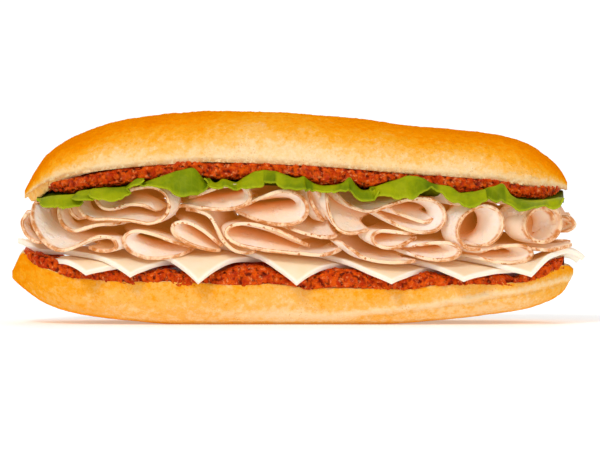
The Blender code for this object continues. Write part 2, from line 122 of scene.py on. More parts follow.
@dataclass(frozen=True)
class Layout:
    """The lines and widths that all layers share."""

    top_ends: tuple[float, float] = (-98.3, 96.8)
    bottom_ends: tuple[float, float] = (-102.8, 99.0)
    bread_half_width: float = 33.5
    filling_half_width: float = 36.0
    filling_half_length: float = 104.0
    mound_share: float = 1.5
    crest: Line = Line(((-98.3, 47.4), (-96.6, 50.6), (-94.6, 54.4), (-90, 60.5), (-80, 67), (-60, 73), (-25, 75.7),
                        (10, 74.2), (40, 70.6), (70, 67.4), (80, 65.3), (90, 59.5), (95, 53.8),
                        (96.8, 50.5)))
    top_rim: Line = Line(((-98.3, 45.6), (-97, 46.5), (-91, 50.5), (-80, 53.5), (-50, 57), (-30, 58), (0, 57),
                          (40, 54), (80, 50.6), (96.8, 49)))
    bottom_rim: Line = Line(((-102.8, 18.6), (-98.6, 25.8), (-94.4, 22.2), (-89, 20), (-80, 17.3),
                             (-60, 16), (-40, 15.8), (-25, 14.7), (-10, 15.3), (5, 14), (38, 13.4),
                             (55, 15.4), (80, 15.3), (90, 19), (95, 21.3), (97.4, 20.8), (99, 19.4)))
    belly: Line = Line(((-102.8, 16.2), (-100.4, 13.8), (-96.7, 10.8), (-91, 7.2), (-84, 4.6),
                        (-72, 2.4), (-60, 1.2), (-45, 0), (30, 0), (50, 1.3), (60, 2.2), (70, 3.5),
                        (80, 5.1), (90, 8.2), (95, 11.2), (99, 17.6)))
    mound: Line = Line(((-97, 0.8), (-88, 2.6), (-75, 4.6), (-55, 6), (45, 6), (65, 5), (80, 3.4),
                        (97, 0.8)))
    fan: Line = Line(((-100, 4.5), (-60, 5.5), (-20, 4.5), (8, 0), (35, -4.5), (70, -6), (100, -5)))
    sway: Line = Line(((-100, 0.6), (-85, 2.4), (-60, 3.2), (-48, 2.6), (-36, 0), (-24, -2.6),
                       (0, -4), (40, -4.6), (60, -5.4), (76, -6.6), (94, -6.4), (98, -3), (100, -1)))
    curl: Line = Line(((-97, 2.5), (-95.5, 5.5), (-93, 6.6), (-90, 5.4), (-85, 3.8), (-75, 2.4),
                       (-63, 1.5), (-50, 0.6), (-35, 0), (60, 0), (72, 0.8), (85, 1.6), (92, 1.8),
                       (96.5, 1)))
    leaf_crest: Line = Line(((-94, 44.4), (-87, 45.6), (-80, 46.6), (-75, 48), (-63, 49.2), (-56, 50.4),
                             (-48, 52), (-40, 53), (-32, 51.4), (-24, 51), (-12, 53), (0, 52.2),
                             (10, 49), (18, 50), (25, 48), (34, 50.4), (44, 50.4), (57, 47),
                             (72, 48), (78, 45), (95, 44.2)))
    cheese_level: Line = Line(((-101, 28), (-97, 27.4), (-92, 25.6), (-88, 24.4), (-84, 23.7),
                               (-78, 23.2), (-65, 22.5), (-48, 21.8), (-30, 22.2), (-18, 22.6),
                               (0, 22), (11, 21.6), (25, 21.1), (41, 20.5), (60, 20.2), (75, 19.8),
                               (84, 20.8), (91, 23.8), (96, 25.2)))
    top_sauce_depth: Line = Line(((-95, 1.4), (-88, 2.4), (-70, 3.2), (-50, 3.2), (-30, 4.2),
                                  (55, 4), (80, 3.6), (90, 3.2), (95, 2.4)))
    sauce_under_cheese: float = 2.9
    leaf_under_sauce: float = 1.45

    def end_droop(self, x: float) -> float:
        """Return how far the cheese droops at the left end, per millimetre from the centre line."""
        return 0.3 * min(1.0, max(0.0, (-84 - x) / 9))

    def bread_half(self, x: float, ends: tuple[float, float]) -> float:
        """Return half the width of a roll half at x: parallel sides with rounded ends."""
        middle = (ends[0] + ends[1]) / 2
        share = min(1.0, abs(x - middle) / (ends[1] - middle))
        return self.bread_half_width * (1 - share ** 4) ** 0.45

    def filling_half(self, x: float) -> float:
        """Return how far from the centre line the filling's slices reach at x."""
        share = min(0.96, abs(x) / self.filling_half_length)
        return self.filling_half_width * math.sqrt(1 - share ** 6)

    def depth_share(self, x: float, y: float) -> float:
        """Return 0 at the filling's edge and 1 over its middle third."""
        return min(1.0, self.mound_share * (1 - abs(y) / self.filling_half(x)))

    def top_cut(self, x: float, y: float) -> float:
        """Return the height of the upper half's cut face, pressed up over the mound."""
        inner = abs(y) / max(0.5, self.bread_half(x, self.top_ends))
        lip = min(1.0, max(0.0, (1 - inner) / 0.09)) ** 0.7
        return (self.top_rim.at(x) + 0.6 * lip + self.mound.at(x) * max(0.0, self.depth_share(x, y))
                - self.curl.at(x) * lip)


LAYOUT = Layout()


# Node groups and materials ---------------------------------------------------------------------------
class NodeKit:
    """Adds and links nodes in one node tree."""

    def __init__(self, tree: bpy.types.NodeTree) -> None:
        """Work on a tree."""
        self.tree = tree

    def add(self, kind: str, settings: dict | None = None, **inputs: object) -> bpy.types.Node:
        """Add a node.

        Args:
            kind: the node's type name.
            settings: properties of the node itself.
            inputs: socket values or sources to link, by socket name with _ for a space.

        Returns:
            The new node.
        """
        node = self.tree.nodes.new(kind)
        for key, value in (settings or {}).items():
            setattr(node, key, value)
        for key, value in inputs.items():
            self.feed(node.inputs[key.replace("_", " ")], value)
        return node

    def feed(self, socket: bpy.types.NodeSocket, value: object) -> None:
        """Link a source socket to a socket, or set its value."""
        if isinstance(value, bpy.types.NodeSocket):
            self.tree.links.new(value, socket)
        else:
            socket.default_value = value

    def math(self, operation: str, a: object, b: object = 0.0, clamp: bool = False
             ) -> bpy.types.NodeSocket:
        """Return the result of a sum on two values."""
        node = self.add("ShaderNodeMath", {"operation": operation, "use_clamp": clamp})
        self.feed(node.inputs[0], a)
        self.feed(node.inputs[1], b)
        return node.outputs[0]

    def mix(self, share: object, a: object, b: object, blend: str = "MIX") -> bpy.types.NodeSocket:
        """Return two colours mixed by a share."""
        node = self.add("ShaderNodeMix", {"data_type": "RGBA", "blend_type": blend})
        self.feed(node.inputs[0], share)
        self.feed(node.inputs[6], a)
        self.feed(node.inputs[7], b)
        return node.outputs[2]

    def noise(self, place: bpy.types.NodeSocket, scale: float, detail: float = 3.0,
              roughness: float = 0.55) -> bpy.types.NodeSocket:
        """Return noise from 0 to 1 at a place, scale in bumps per metre."""
        node = self.add("ShaderNodeTexNoise", Vector=place, Scale=scale, Detail=detail,
                        Roughness=roughness)
        return node.outputs["Fac"]

    def step(self, value: object, low: object, high: object) -> bpy.types.NodeSocket:
        """Return 0 below low and 1 above high, smooth between."""
        node = self.add("ShaderNodeMapRange", {"interpolation_type": "SMOOTHSTEP"})
        self.feed(node.inputs["Value"], value)
        self.feed(node.inputs["From Min"], low)
        self.feed(node.inputs["From Max"], high)
        return node.outputs["Result"]

    def ramp(self, share: object, stops: Sequence[tuple[float, tuple]]) -> bpy.types.NodeSocket:
        """Return the colour at a share along (place, colour) stops."""
        node = self.add("ShaderNodeValToRGB", Fac=share)
        node.color_ramp.interpolation = "EASE"
        while len(node.color_ramp.elements) < len(stops):
            node.color_ramp.elements.new(1.0)
        for element, (place, colour) in zip(node.color_ramp.elements, stops):
            element.position = place
            element.color = colour
        return node.outputs["Color"]

    def attribute(self, name: str) -> bpy.types.NodeSocket:
        """Return a value stored on the mesh."""
        return self.add("ShaderNodeAttribute", {"attribute_name": name}).outputs["Fac"]

    def group(self, tree: bpy.types.NodeTree, **inputs: object) -> bpy.types.Node:
        """Place a node group with its own values."""
        node = self.tree.nodes.new("ShaderNodeGroup")
        node.node_tree = tree
        for key, value in inputs.items():
            self.feed(node.inputs[key.replace("_", " ")], value)
        return node


def new_group(name: str, inputs: dict[str, str], outputs: dict[str, str]
              ) -> tuple[bpy.types.NodeTree, NodeKit, bpy.types.Node, bpy.types.Node]:
    """Start a shader node group.

    Args:
        name: the group's name.
        inputs: socket type by name.
        outputs: socket type by name.

    Returns:
        The tree, its kit, its input node and its output node.
    """
    tree = bpy.data.node_groups.new(name, "ShaderNodeTree")
    for key, kind in inputs.items():
        tree.interface.new_socket(key, in_out="INPUT", socket_type=kind)
    for key, kind in outputs.items():
        tree.interface.new_socket(key, in_out="OUTPUT", socket_type=kind)
    kit = NodeKit(tree)
    return tree, kit, tree.nodes.new("NodeGroupInput"), tree.nodes.new("NodeGroupOutput")


def speckle_group() -> bpy.types.NodeTree:
    """Return a group that scatters small soft-edged specks, gathered in patches."""
    tree, kit, start, end = new_group(
        "specks", {"Vector": "NodeSocketVector", "Scale": "NodeSocketFloat",
                   "Cover": "NodeSocketFloat"}, {"Mask": "NodeSocketFloat"})
    cells = kit.add("ShaderNodeTexVoronoi", Vector=start.outputs["Vector"],
                    Scale=start.outputs["Scale"])
    patch = kit.add("ShaderNodeTexNoise", Vector=start.outputs["Vector"], Detail=2.0)
    kit.feed(patch.inputs["Scale"], kit.math("MULTIPLY", start.outputs["Scale"], 0.13))
    reach = kit.math("MULTIPLY", start.outputs["Cover"],
                     kit.step(patch.outputs["Fac"], 0.38, 0.66))
    inside = kit.math("SUBTRACT", reach, cells.outputs["Distance"])
    kit.feed(end.inputs["Mask"], kit.step(inside, 0.0, 0.12))
    return tree


def mottle_group() -> bpy.types.NodeTree:
    """Return a group that drifts between two colours in soft patches, with a matching height."""
    tree, kit, start, end = new_group(
        "mottle", {"Vector": "NodeSocketVector", "Scale": "NodeSocketFloat",
                   "Light": "NodeSocketColor", "Dark": "NodeSocketColor"},
        {"Color": "NodeSocketColor", "Height": "NodeSocketFloat"})
    broad = kit.add("ShaderNodeTexNoise", Vector=start.outputs["Vector"],
                    Scale=start.outputs["Scale"], Detail=4.0, Roughness=0.6)
    share = kit.step(broad.outputs["Fac"], 0.32, 0.68)
    kit.feed(end.inputs["Color"], kit.mix(share, start.outputs["Dark"], start.outputs["Light"]))
    kit.feed(end.inputs["Height"], broad.outputs["Fac"])
    return tree


@dataclass(frozen=True)
class Finish:
    """A surface's look; each kind of food fills in build()."""

    name: str
    slot: str
    roughness: float
    scatter: float = 0.0
    scatter_depth: float = 0.0015
    scatter_tint: tuple[float, float, float] = (1.0, 0.5, 0.3)
    coat: float = 0.0
    shine: float = 0.2
    # Emission: on the turkey and cheese it is painted warm bounce light in their shadows; on the floor it keeps the
    # floor evenly white.
    glow: float = 0.0
    glow_colour: tuple[float, float, float, float] = (1.0, 1.0, 1.0, 1.0)

    def material(self, groups: dict[str, bpy.types.NodeTree]) -> bpy.types.Material:
        """Return the finished material."""
        made = bpy.data.materials.new(self.name)
        made.use_nodes = True
        kit = NodeKit(made.node_tree)
        shader = made.node_tree.nodes["Principled BSDF"]
        shader.inputs["Roughness"].default_value = self.roughness
        shader.inputs["Subsurface Weight"].default_value = self.scatter
        shader.inputs["Subsurface Radius"].default_value = self.scatter_tint
        shader.inputs["Subsurface Scale"].default_value = self.scatter_depth
        shader.inputs["Coat Weight"].default_value = self.coat
        shader.inputs["Specular IOR Level"].default_value = self.shine
        shader.inputs["Coat Roughness"].default_value = 0.12
        shader.inputs["Emission Strength"].default_value = self.glow
        shader.inputs["Emission Color"].default_value = self.glow_colour
        place = kit.add("ShaderNodeTexCoord").outputs["Object"]
        self.build(kit, shader, place, groups)
        return made

    def build(self, kit: NodeKit, shader: bpy.types.Node, place: bpy.types.NodeSocket,
              groups: dict[str, bpy.types.NodeTree]) -> None:
        """Feed the shader's varying inputs."""
        raise NotImplementedError

    @staticmethod
    def bump(kit: NodeKit, shader: bpy.types.Node, height: object, depth: float) -> None:
        """Give the shader a relief of the height, depth in metres."""
        relief = kit.add("ShaderNodeBump", Height=height, Distance=depth, Strength=1.0)
        kit.feed(shader.inputs["Normal"], relief.outputs["Normal"])


@dataclass(frozen=True)
class CrustFinish(Finish):
    """Baked crust that pales towards the rim, with crumb where the roll is cut."""

    stops: tuple[tuple[float, tuple], ...] = (
        (0.0, srgb(250, 216, 166)), (0.16, srgb(252, 207, 144)), (0.36, srgb(251, 186, 88)),
        (0.58, srgb(250, 165, 30)), (0.8, srgb(249, 144, 2)), (1.0, srgb(242, 130, 1)))
    pale: tuple = srgb(253, 217, 164)
    freckle: tuple = srgb(206, 116, 34)
    toast: tuple = srgb(212, 122, 30)
    crumb: tuple = srgb(252, 232, 184)
    crumb_shade: tuple = srgb(240, 204, 140)

    def build(self, kit: NodeKit, shader: bpy.types.Node, place: bpy.types.NodeSocket,
              groups: dict[str, bpy.types.NodeTree]) -> None:
        """Feed the shader's varying inputs."""
        drift = kit.math("SUBTRACT", kit.noise(place, 42.0, 4.0), 0.5)
        ripple = kit.math("SUBTRACT", kit.noise(place, 420.0, 4.0, 0.65), 0.5)
        baked = kit.math("ADD", kit.attribute("bake"), kit.math("MULTIPLY", drift, 0.6))
        baked = kit.math("ADD", baked, kit.math("MULTIPLY", ripple, 0.75))
        fine = kit.math("SUBTRACT", kit.noise(place, 1300.0, 3.0, 0.7), 0.5)
        baked = kit.math("ADD", baked, kit.math("MULTIPLY", fine, 0.35), clamp=True)
        colour = kit.ramp(baked, self.stops)
        scuff = kit.step(kit.noise(place, 150.0, 8.0, 0.72), 0.54, 0.68)
        scuff = kit.math("MULTIPLY", scuff, kit.step(baked, 0.75, 0.3))
        colour = kit.mix(kit.math("MULTIPLY", scuff, 0.55), colour, self.pale)
        freckles = kit.group(groups["specks"], Vector=place, Scale=900.0, Cover=0.3)
        colour = kit.mix(kit.math("MULTIPLY", freckles.outputs["Mask"], 0.35), colour, self.freckle)
        toasted = kit.math("MULTIPLY", kit.attribute("rim"),
                           kit.step(kit.noise(place, 520.0, 4.0, 0.7), 0.36, 0.56))
        colour = kit.mix(kit.math("MULTIPLY", toasted, 0.85), colour, self.toast)
        crumb = kit.group(groups["mottle"], Vector=place, Scale=260.0, Light=self.crumb,
                          Dark=self.crumb_shade)
        colour = kit.mix(kit.attribute("crumb"), colour, crumb.outputs["Color"])
        kit.feed(shader.inputs["Base Color"], colour)
        grain = kit.noise(place, 1500.0, 4.0, 0.6)
        wrinkle = kit.noise(place, 330.0, 4.0, 0.6)
        height = kit.math("ADD", kit.math("MULTIPLY", grain, 0.35), wrinkle)
        self.bump(kit, shader, height, 0.0011)
        kit.feed(shader.inputs["Roughness"],
                 kit.math("ADD", self.roughness, kit.math("MULTIPLY", ripple, 0.3)))


@dataclass(frozen=True)
class SauceFinish(Finish):
    """Chunky tomato sauce: bright pulp and dark flecks, painted shade in the creases between lumps, painted glints,
    and a wet gloss.
    """

    pulp: tuple = srgb(233, 92, 4)
    deep: tuple = srgb(188, 46, 1)
    # Painted shade colour for the creases between lumps.
    painted_crease_shade: tuple = srgb(104, 20, 1)
    # Painted highlight colour for the glints.
    bright: tuple = srgb(250, 158, 92)
    fleck: tuple = srgb(88, 24, 2)

    def build(self, kit: NodeKit, shader: bpy.types.Node, place: bpy.types.NodeSocket,
              groups: dict[str, bpy.types.NodeTree]) -> None:
        """Feed the shader's varying inputs."""
        mottle = kit.group(groups["mottle"], Vector=place, Scale=420.0, Light=self.pulp,
                           Dark=self.deep)
        lump = kit.attribute("lump")
        # Painted shade: the low creases between lumps turn dark.
        colour = kit.mix(kit.step(lump, 0.6, 0.15), mottle.outputs["Color"], self.painted_crease_shade)
        # Painted highlights: small pale spots scattered by noise stand for glints.
        painted_glints = kit.step(kit.noise(place, 620.0, 3.0, 0.65), 0.56, 0.68)
        colour = kit.mix(kit.math("MULTIPLY", painted_glints, 0.6), colour, self.bright)
        flecks = kit.group(groups["specks"], Vector=place, Scale=760.0, Cover=0.36)
        colour = kit.mix(kit.math("MULTIPLY", flecks.outputs["Mask"], 0.32), colour, self.fleck)
        kit.feed(shader.inputs["Base Color"], colour)
        height = kit.noise(place, 1300.0, 3.0, 0.6)
        self.bump(kit, shader, height, 0.0007)
        wet = kit.step(kit.noise(place, 520.0, 3.0), 0.55, 0.66)
        kit.feed(shader.inputs["Coat Weight"], kit.math("MULTIPLY", wet, 0.3))
        kit.feed(shader.inputs["Roughness"],
                 kit.math("ADD", self.roughness, kit.math("MULTIPLY", flecks.outputs["Mask"], 0.3)))


@dataclass(frozen=True)
class CheeseFinish(Finish):
    """Smooth ivory cheese, paler where it is cut."""

    face: tuple = srgb(248, 231, 201)
    warm: tuple = srgb(246, 224, 187)
    cut: tuple = srgb(252, 243, 226)

    def build(self, kit: NodeKit, shader: bpy.types.Node, place: bpy.types.NodeSocket,
              groups: dict[str, bpy.types.NodeTree]) -> None:
        """Feed the shader's varying inputs."""
        mottle = kit.group(groups["mottle"], Vector=place, Scale=110.0, Light=self.face,
                           Dark=self.warm)
        near = kit.step(kit.attribute("edge"), 1.4, 0.1)
        kit.feed(shader.inputs["Base Color"], kit.mix(near, mottle.outputs["Color"], self.cut))
        height = kit.math("ADD", mottle.outputs["Height"],
                          kit.math("MULTIPLY", kit.noise(place, 1100.0, 2.0), 0.25))
        self.bump(kit, shader, height, 0.00022)
        kit.feed(shader.inputs["Roughness"],
                 kit.math("ADD", self.roughness, kit.math("MULTIPLY", mottle.outputs["Height"], 0.12)))


@dataclass(frozen=True)
class TurkeyFinish(Finish):
    """Moist pale turkey with a thin browned and freckled rind, and painted shade, warm to deep brown, inside its
    folds.
    """

    face: tuple = srgb(236, 229, 220)
    blush: tuple = srgb(238, 217, 193)
    # Painted shade colours: warm for the hollows of the folds, deep for far inside the sandwich.
    warm: tuple = srgb(229, 144, 52)
    deep: tuple = srgb(150, 72, 16)
    tan: tuple = srgb(243, 208, 164)
    rind: tuple = srgb(192, 108, 22)
    browned: tuple = srgb(172, 94, 26)
    fibre: tuple = srgb(244, 238, 232)

    def build(self, kit: NodeKit, shader: bpy.types.Node, place: bpy.types.NodeSocket,
              groups: dict[str, bpy.types.NodeTree]) -> None:
        """Feed the shader's varying inputs."""
        mottle = kit.group(groups["mottle"], Vector=place, Scale=75.0, Light=self.face,
                           Dark=self.blush)
        streak = kit.step(kit.noise(place, 300.0, 4.0, 0.65), 0.52, 0.7)
        colour = kit.mix(kit.math("MULTIPLY", streak, 0.4), mottle.outputs["Color"], self.fibre)
        normal = kit.add("ShaderNodeSeparateXYZ",
                         Vector=kit.add("ShaderNodeTexCoord").outputs["Normal"])
        # Painted shade: faces turned into a fold's hollow, and faces far behind the rim, turn warm orange.
        facing_hollow = kit.math(
            "ADD", kit.math("MULTIPLY", normal.outputs["X"], kit.attribute("hollow_x")),
            kit.math("MULTIPLY", normal.outputs["Z"], kit.attribute("hollow_z")))
        sunk = kit.attribute("inward")
        within = kit.step(facing_hollow, 0.0, 0.5)
        inside = kit.math("MULTIPLY", within, kit.step(sunk, 1.6, 12.0))
        outside = kit.math("MULTIPLY", kit.step(sunk, 3.5, 18.0), 0.8)
        colour = kit.mix(kit.math("MAXIMUM", kit.math("MULTIPLY", inside, 0.8), outside), colour,
                         self.warm)
        # Painted shade: deep brown far behind the rim.
        depth = kit.math("MULTIPLY", kit.step(sunk, 7.0, 18.0), 0.75)
        colour = kit.mix(depth, colour, self.deep)
        edge = kit.attribute("edge")
        colour = kit.mix(kit.math("MULTIPLY", kit.step(edge, 1.0, 0.1), 0.6), colour, self.tan)
        facing = kit.math("ABSOLUTE", normal.outputs["Y"])
        line = kit.math("MULTIPLY", kit.step(facing, 0.97, 0.86), kit.step(facing, 0.15, 0.45))
        line = kit.math("MULTIPLY", line, kit.step(edge, 0.9, 0.3))
        rind = kit.math("MULTIPLY", line, kit.step(kit.noise(place, 300.0, 4.0, 0.7), 0.34, 0.6))
        colour = kit.mix(kit.math("MULTIPLY", rind, 0.9), colour, self.rind)
        spots = kit.group(groups["specks"], Vector=place, Scale=700.0, Cover=0.42)
        near = kit.step(edge, 1.5, 0.1)
        brown = kit.math("MULTIPLY", spots.outputs["Mask"], near)
        colour = kit.mix(kit.math("MULTIPLY", brown, 0.85), colour, self.browned)
        kit.feed(shader.inputs["Base Color"], colour)
        height = kit.math("ADD", kit.math("MULTIPLY", kit.noise(place, 900.0, 3.0), 0.4), streak)
        self.bump(kit, shader, height, 0.00025)
        kit.feed(shader.inputs["Roughness"],
                 kit.math("ADD", self.roughness, kit.math("MULTIPLY", rind, 0.15)))


@dataclass(frozen=True)
class LettuceFinish(Finish):
    """Fresh leaf with pale branching veins and a lighter hem, with painted shade in recessed folds and in the
    cavity beneath.
    """

    blade: tuple = srgb(156, 162, 4)
    shade: tuple = srgb(108, 126, 1)
    # Painted shade colours: hollow for recessed folds, inner for the dark cavity under the leaf.
    hollow: tuple = srgb(78, 100, 0)
    inner: tuple = srgb(50, 50, 2)
    vein: tuple = srgb(186, 190, 50)
    hem: tuple = srgb(174, 182, 30)

    def build(self, kit: NodeKit, shader: bpy.types.Node, place: bpy.types.NodeSocket,
              groups: dict[str, bpy.types.NodeTree]) -> None:
        """Feed the shader's varying inputs."""
        mottle = kit.group(groups["mottle"], Vector=place, Scale=95.0, Light=self.blade,
                           Dark=self.shade)
        bent = kit.add("ShaderNodeMapping", Vector=place)
        bent.inputs["Scale"].default_value = (1.0, 0.35, 0.35)
        cells = kit.add("ShaderNodeTexVoronoi", {"feature": "DISTANCE_TO_EDGE"},
                        Vector=bent.outputs["Vector"], Scale=190.0)
        vein = kit.step(cells.outputs["Distance"], 0.05, 0.0)
        # Painted shade: recessed folds of the hanging edge turn dark green.
        colour = kit.mix(kit.math("MULTIPLY", kit.step(kit.attribute("fold"), 0.1, 1.1), 0.75),
                         mottle.outputs["Color"], self.hollow)
        colour = kit.mix(kit.math("MULTIPLY", vein, 0.08), colour, self.vein)
        colour = kit.mix(kit.math("MULTIPLY", kit.step(kit.attribute("edge"), 0.7, 0.0), 0.5), colour,
                         self.hem)
        # Painted shade: the inner leaf darkens towards the shadowed cavity under the sauce.
        painted_cavity_shade = kit.step(kit.attribute("edge"), 4.0, 6.0)
        colour = kit.mix(kit.math("MULTIPLY", painted_cavity_shade, 0.85), colour, self.inner)
        kit.feed(shader.inputs["Base Color"], colour)
        blister = kit.step(cells.outputs["Distance"], 0.0, 0.3)
        height = kit.math("ADD", kit.math("MULTIPLY", blister, 0.22), kit.noise(place, 420.0, 3.0))
        self.bump(kit, shader, height, 0.00025)
        kit.feed(shader.inputs["Roughness"],
                 kit.math("ADD", self.roughness, kit.math("MULTIPLY", vein, 0.1)))


@dataclass(frozen=True)
class PlainFinish(Finish):
    """One drifting colour, for the floor."""

    light: tuple = srgb(250, 250, 249)
    dark: tuple = srgb(247, 247, 246)
    scale: float = 3.0

    def build(self, kit: NodeKit, shader: bpy.types.Node, place: bpy.types.NodeSocket,
              groups: dict[str, bpy.types.NodeTree]) -> None:
        """Feed the shader's varying inputs."""
        mottle = kit.group(groups["mottle"], Vector=place, Scale=self.scale, Light=self.light,
                           Dark=self.dark)
        kit.feed(shader.inputs["Base Color"], mottle.outputs["Color"])
        kit.feed(shader.inputs["Emission Color"], mottle.outputs["Color"])


class Food(Enum):
    """The finishes, by what they cover."""

    CRUST = CrustFinish("golden crust", "crust", 0.62, scatter=0.08, scatter_depth=0.002,
                        scatter_tint=(1.0, 0.6, 0.2), shine=0.0)
    SAUCE = SauceFinish("tomato sauce", "sauce", 0.34, scatter=0.15, scatter_depth=0.0012,
                        scatter_tint=(1.0, 0.25, 0.1), shine=0.06)
    # Painted light: a faint warm glow lifts the cheese's shadows.
    CHEESE = CheeseFinish("ivory cheese", "cheese", 0.38, scatter=0.35, scatter_depth=0.002,
                          scatter_tint=(1.0, 0.75, 0.45), glow=0.05,
                          glow_colour=srgb(226, 140, 70))
    # Painted light: an orange glow warms the turkey's shadows.
    TURKEY = TurkeyFinish("sliced turkey", "turkey", 0.4, scatter=0.3, scatter_depth=0.002,
                          scatter_tint=(1.0, 0.55, 0.3), glow=0.14,
                          glow_colour=srgb(238, 150, 44))
    LETTUCE = LettuceFinish("lettuce leaf", "lettuce", 0.42, scatter=0.25, scatter_depth=0.0012,
                            scatter_tint=(0.6, 1.0, 0.15), shine=0.05)
    FLOOR = PlainFinish("pale floor", "floor", 0.7, glow=0.25)


class Larder:
    """Makes each finish's material once and hands it out."""

    def __init__(self) -> None:
        """Build the shared node groups."""
        self.groups = {"specks": speckle_group(), "mottle": mottle_group()}
        self.made: dict[Food, bpy.types.Material] = {}

    def get(self, food: Food) -> bpy.types.Material:
        """Return the material of a finish."""
        if food not in self.made:
            self.made[food] = food.value.material(self.groups)
        return self.made[food]


# Mesh helpers ----------------------------------------------------------------------------------------
@dataclass
class Grid:
    """A sheet or wrapped body shaped from bmesh's own grid.

    Attributes:
        columns: cells along the first direction.
        rows: cells along the second.
        place: gives a point in millimetres and its stored values for a column and a row.
        values: names of the stored values.
    """

    columns: int
    rows: int
    place: Callable[[int, int], tuple[Point, tuple[float, ...]]]
    values: tuple[str, ...] = ()

    def mesh(self, wrapped: bool = False) -> bmesh.types.BMesh:
        """Return the shaped grid; wrapped closes its seam and its pinched ends."""
        grid = bmesh.new()
        bmesh.ops.create_grid(grid, x_segments=self.columns, y_segments=self.rows, size=0.5)
        layers = [grid.verts.layers.float.new(name) for name in self.values]
        for vert in grid.verts:
            column = round((vert.co.x + 0.5) * self.columns)
            row = round((vert.co.y + 0.5) * self.rows)
            point, stored = self.place(column, row)
            vert.co = Vector(point) * MM
            for layer, value in zip(layers, stored):
                vert[layer] = value
        if wrapped:
            bmesh.ops.remove_doubles(grid, verts=grid.verts, dist=0.00001)
            bmesh.ops.recalc_face_normals(grid, faces=grid.faces)
        return grid


class Piece:
    """A finished object: its mesh, its material and what it stands for."""

    def __init__(self, name: str, mesh: bmesh.types.BMesh, food: Food, larder: Larder,
                 stands_for: Sequence[str] = ()) -> None:
        """Write the mesh to an object and tie it to the frame."""
        data = bpy.data.meshes.new(name)
        mesh.to_mesh(data)
        mesh.free()
        data.shade_smooth()
        data.materials.append(larder.get(food))
        self.object = bpy.data.objects.new(name, data)
        bpy.context.collection.objects.link(self.object)
        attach(self.object, BODY)
        if stands_for:
            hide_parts(*stands_for)
        LOG.info("%s: %d faces", name, len(data.polygons))

    def thicken(self, thickness: float, rounding: float) -> None:
        """Give a sheet its thickness in millimetres, with rounded edges."""
        solid = self.object.modifiers.new("thickness", "SOLIDIFY")
        solid.thickness = thickness * MM
        solid.offset = 0
        solid.use_quality_normals = True
        soften = self.object.modifiers.new("rounding", "BEVEL")
        soften.width = rounding * MM
        soften.segments = 2
        soften.limit_method = "ANGLE"
        soften.angle_limit = math.radians(60)
        soften.harden_normals = False


def superellipse(angle: float, flatness: float, rise: float) -> tuple[float, float]:
    """Return a point on a rounded-square quarter turn: across and up, each from 0 to 1."""
    return (max(0.0, math.cos(angle)) ** flatness, max(0.0, math.sin(angle)) ** rise)


# Bread -----------------------------------------------------------------------------------------------
class Half(Enum):
    """The two halves of the roll."""

    TOP = "bread_top"
    BOTTOM = "bread_bottom"


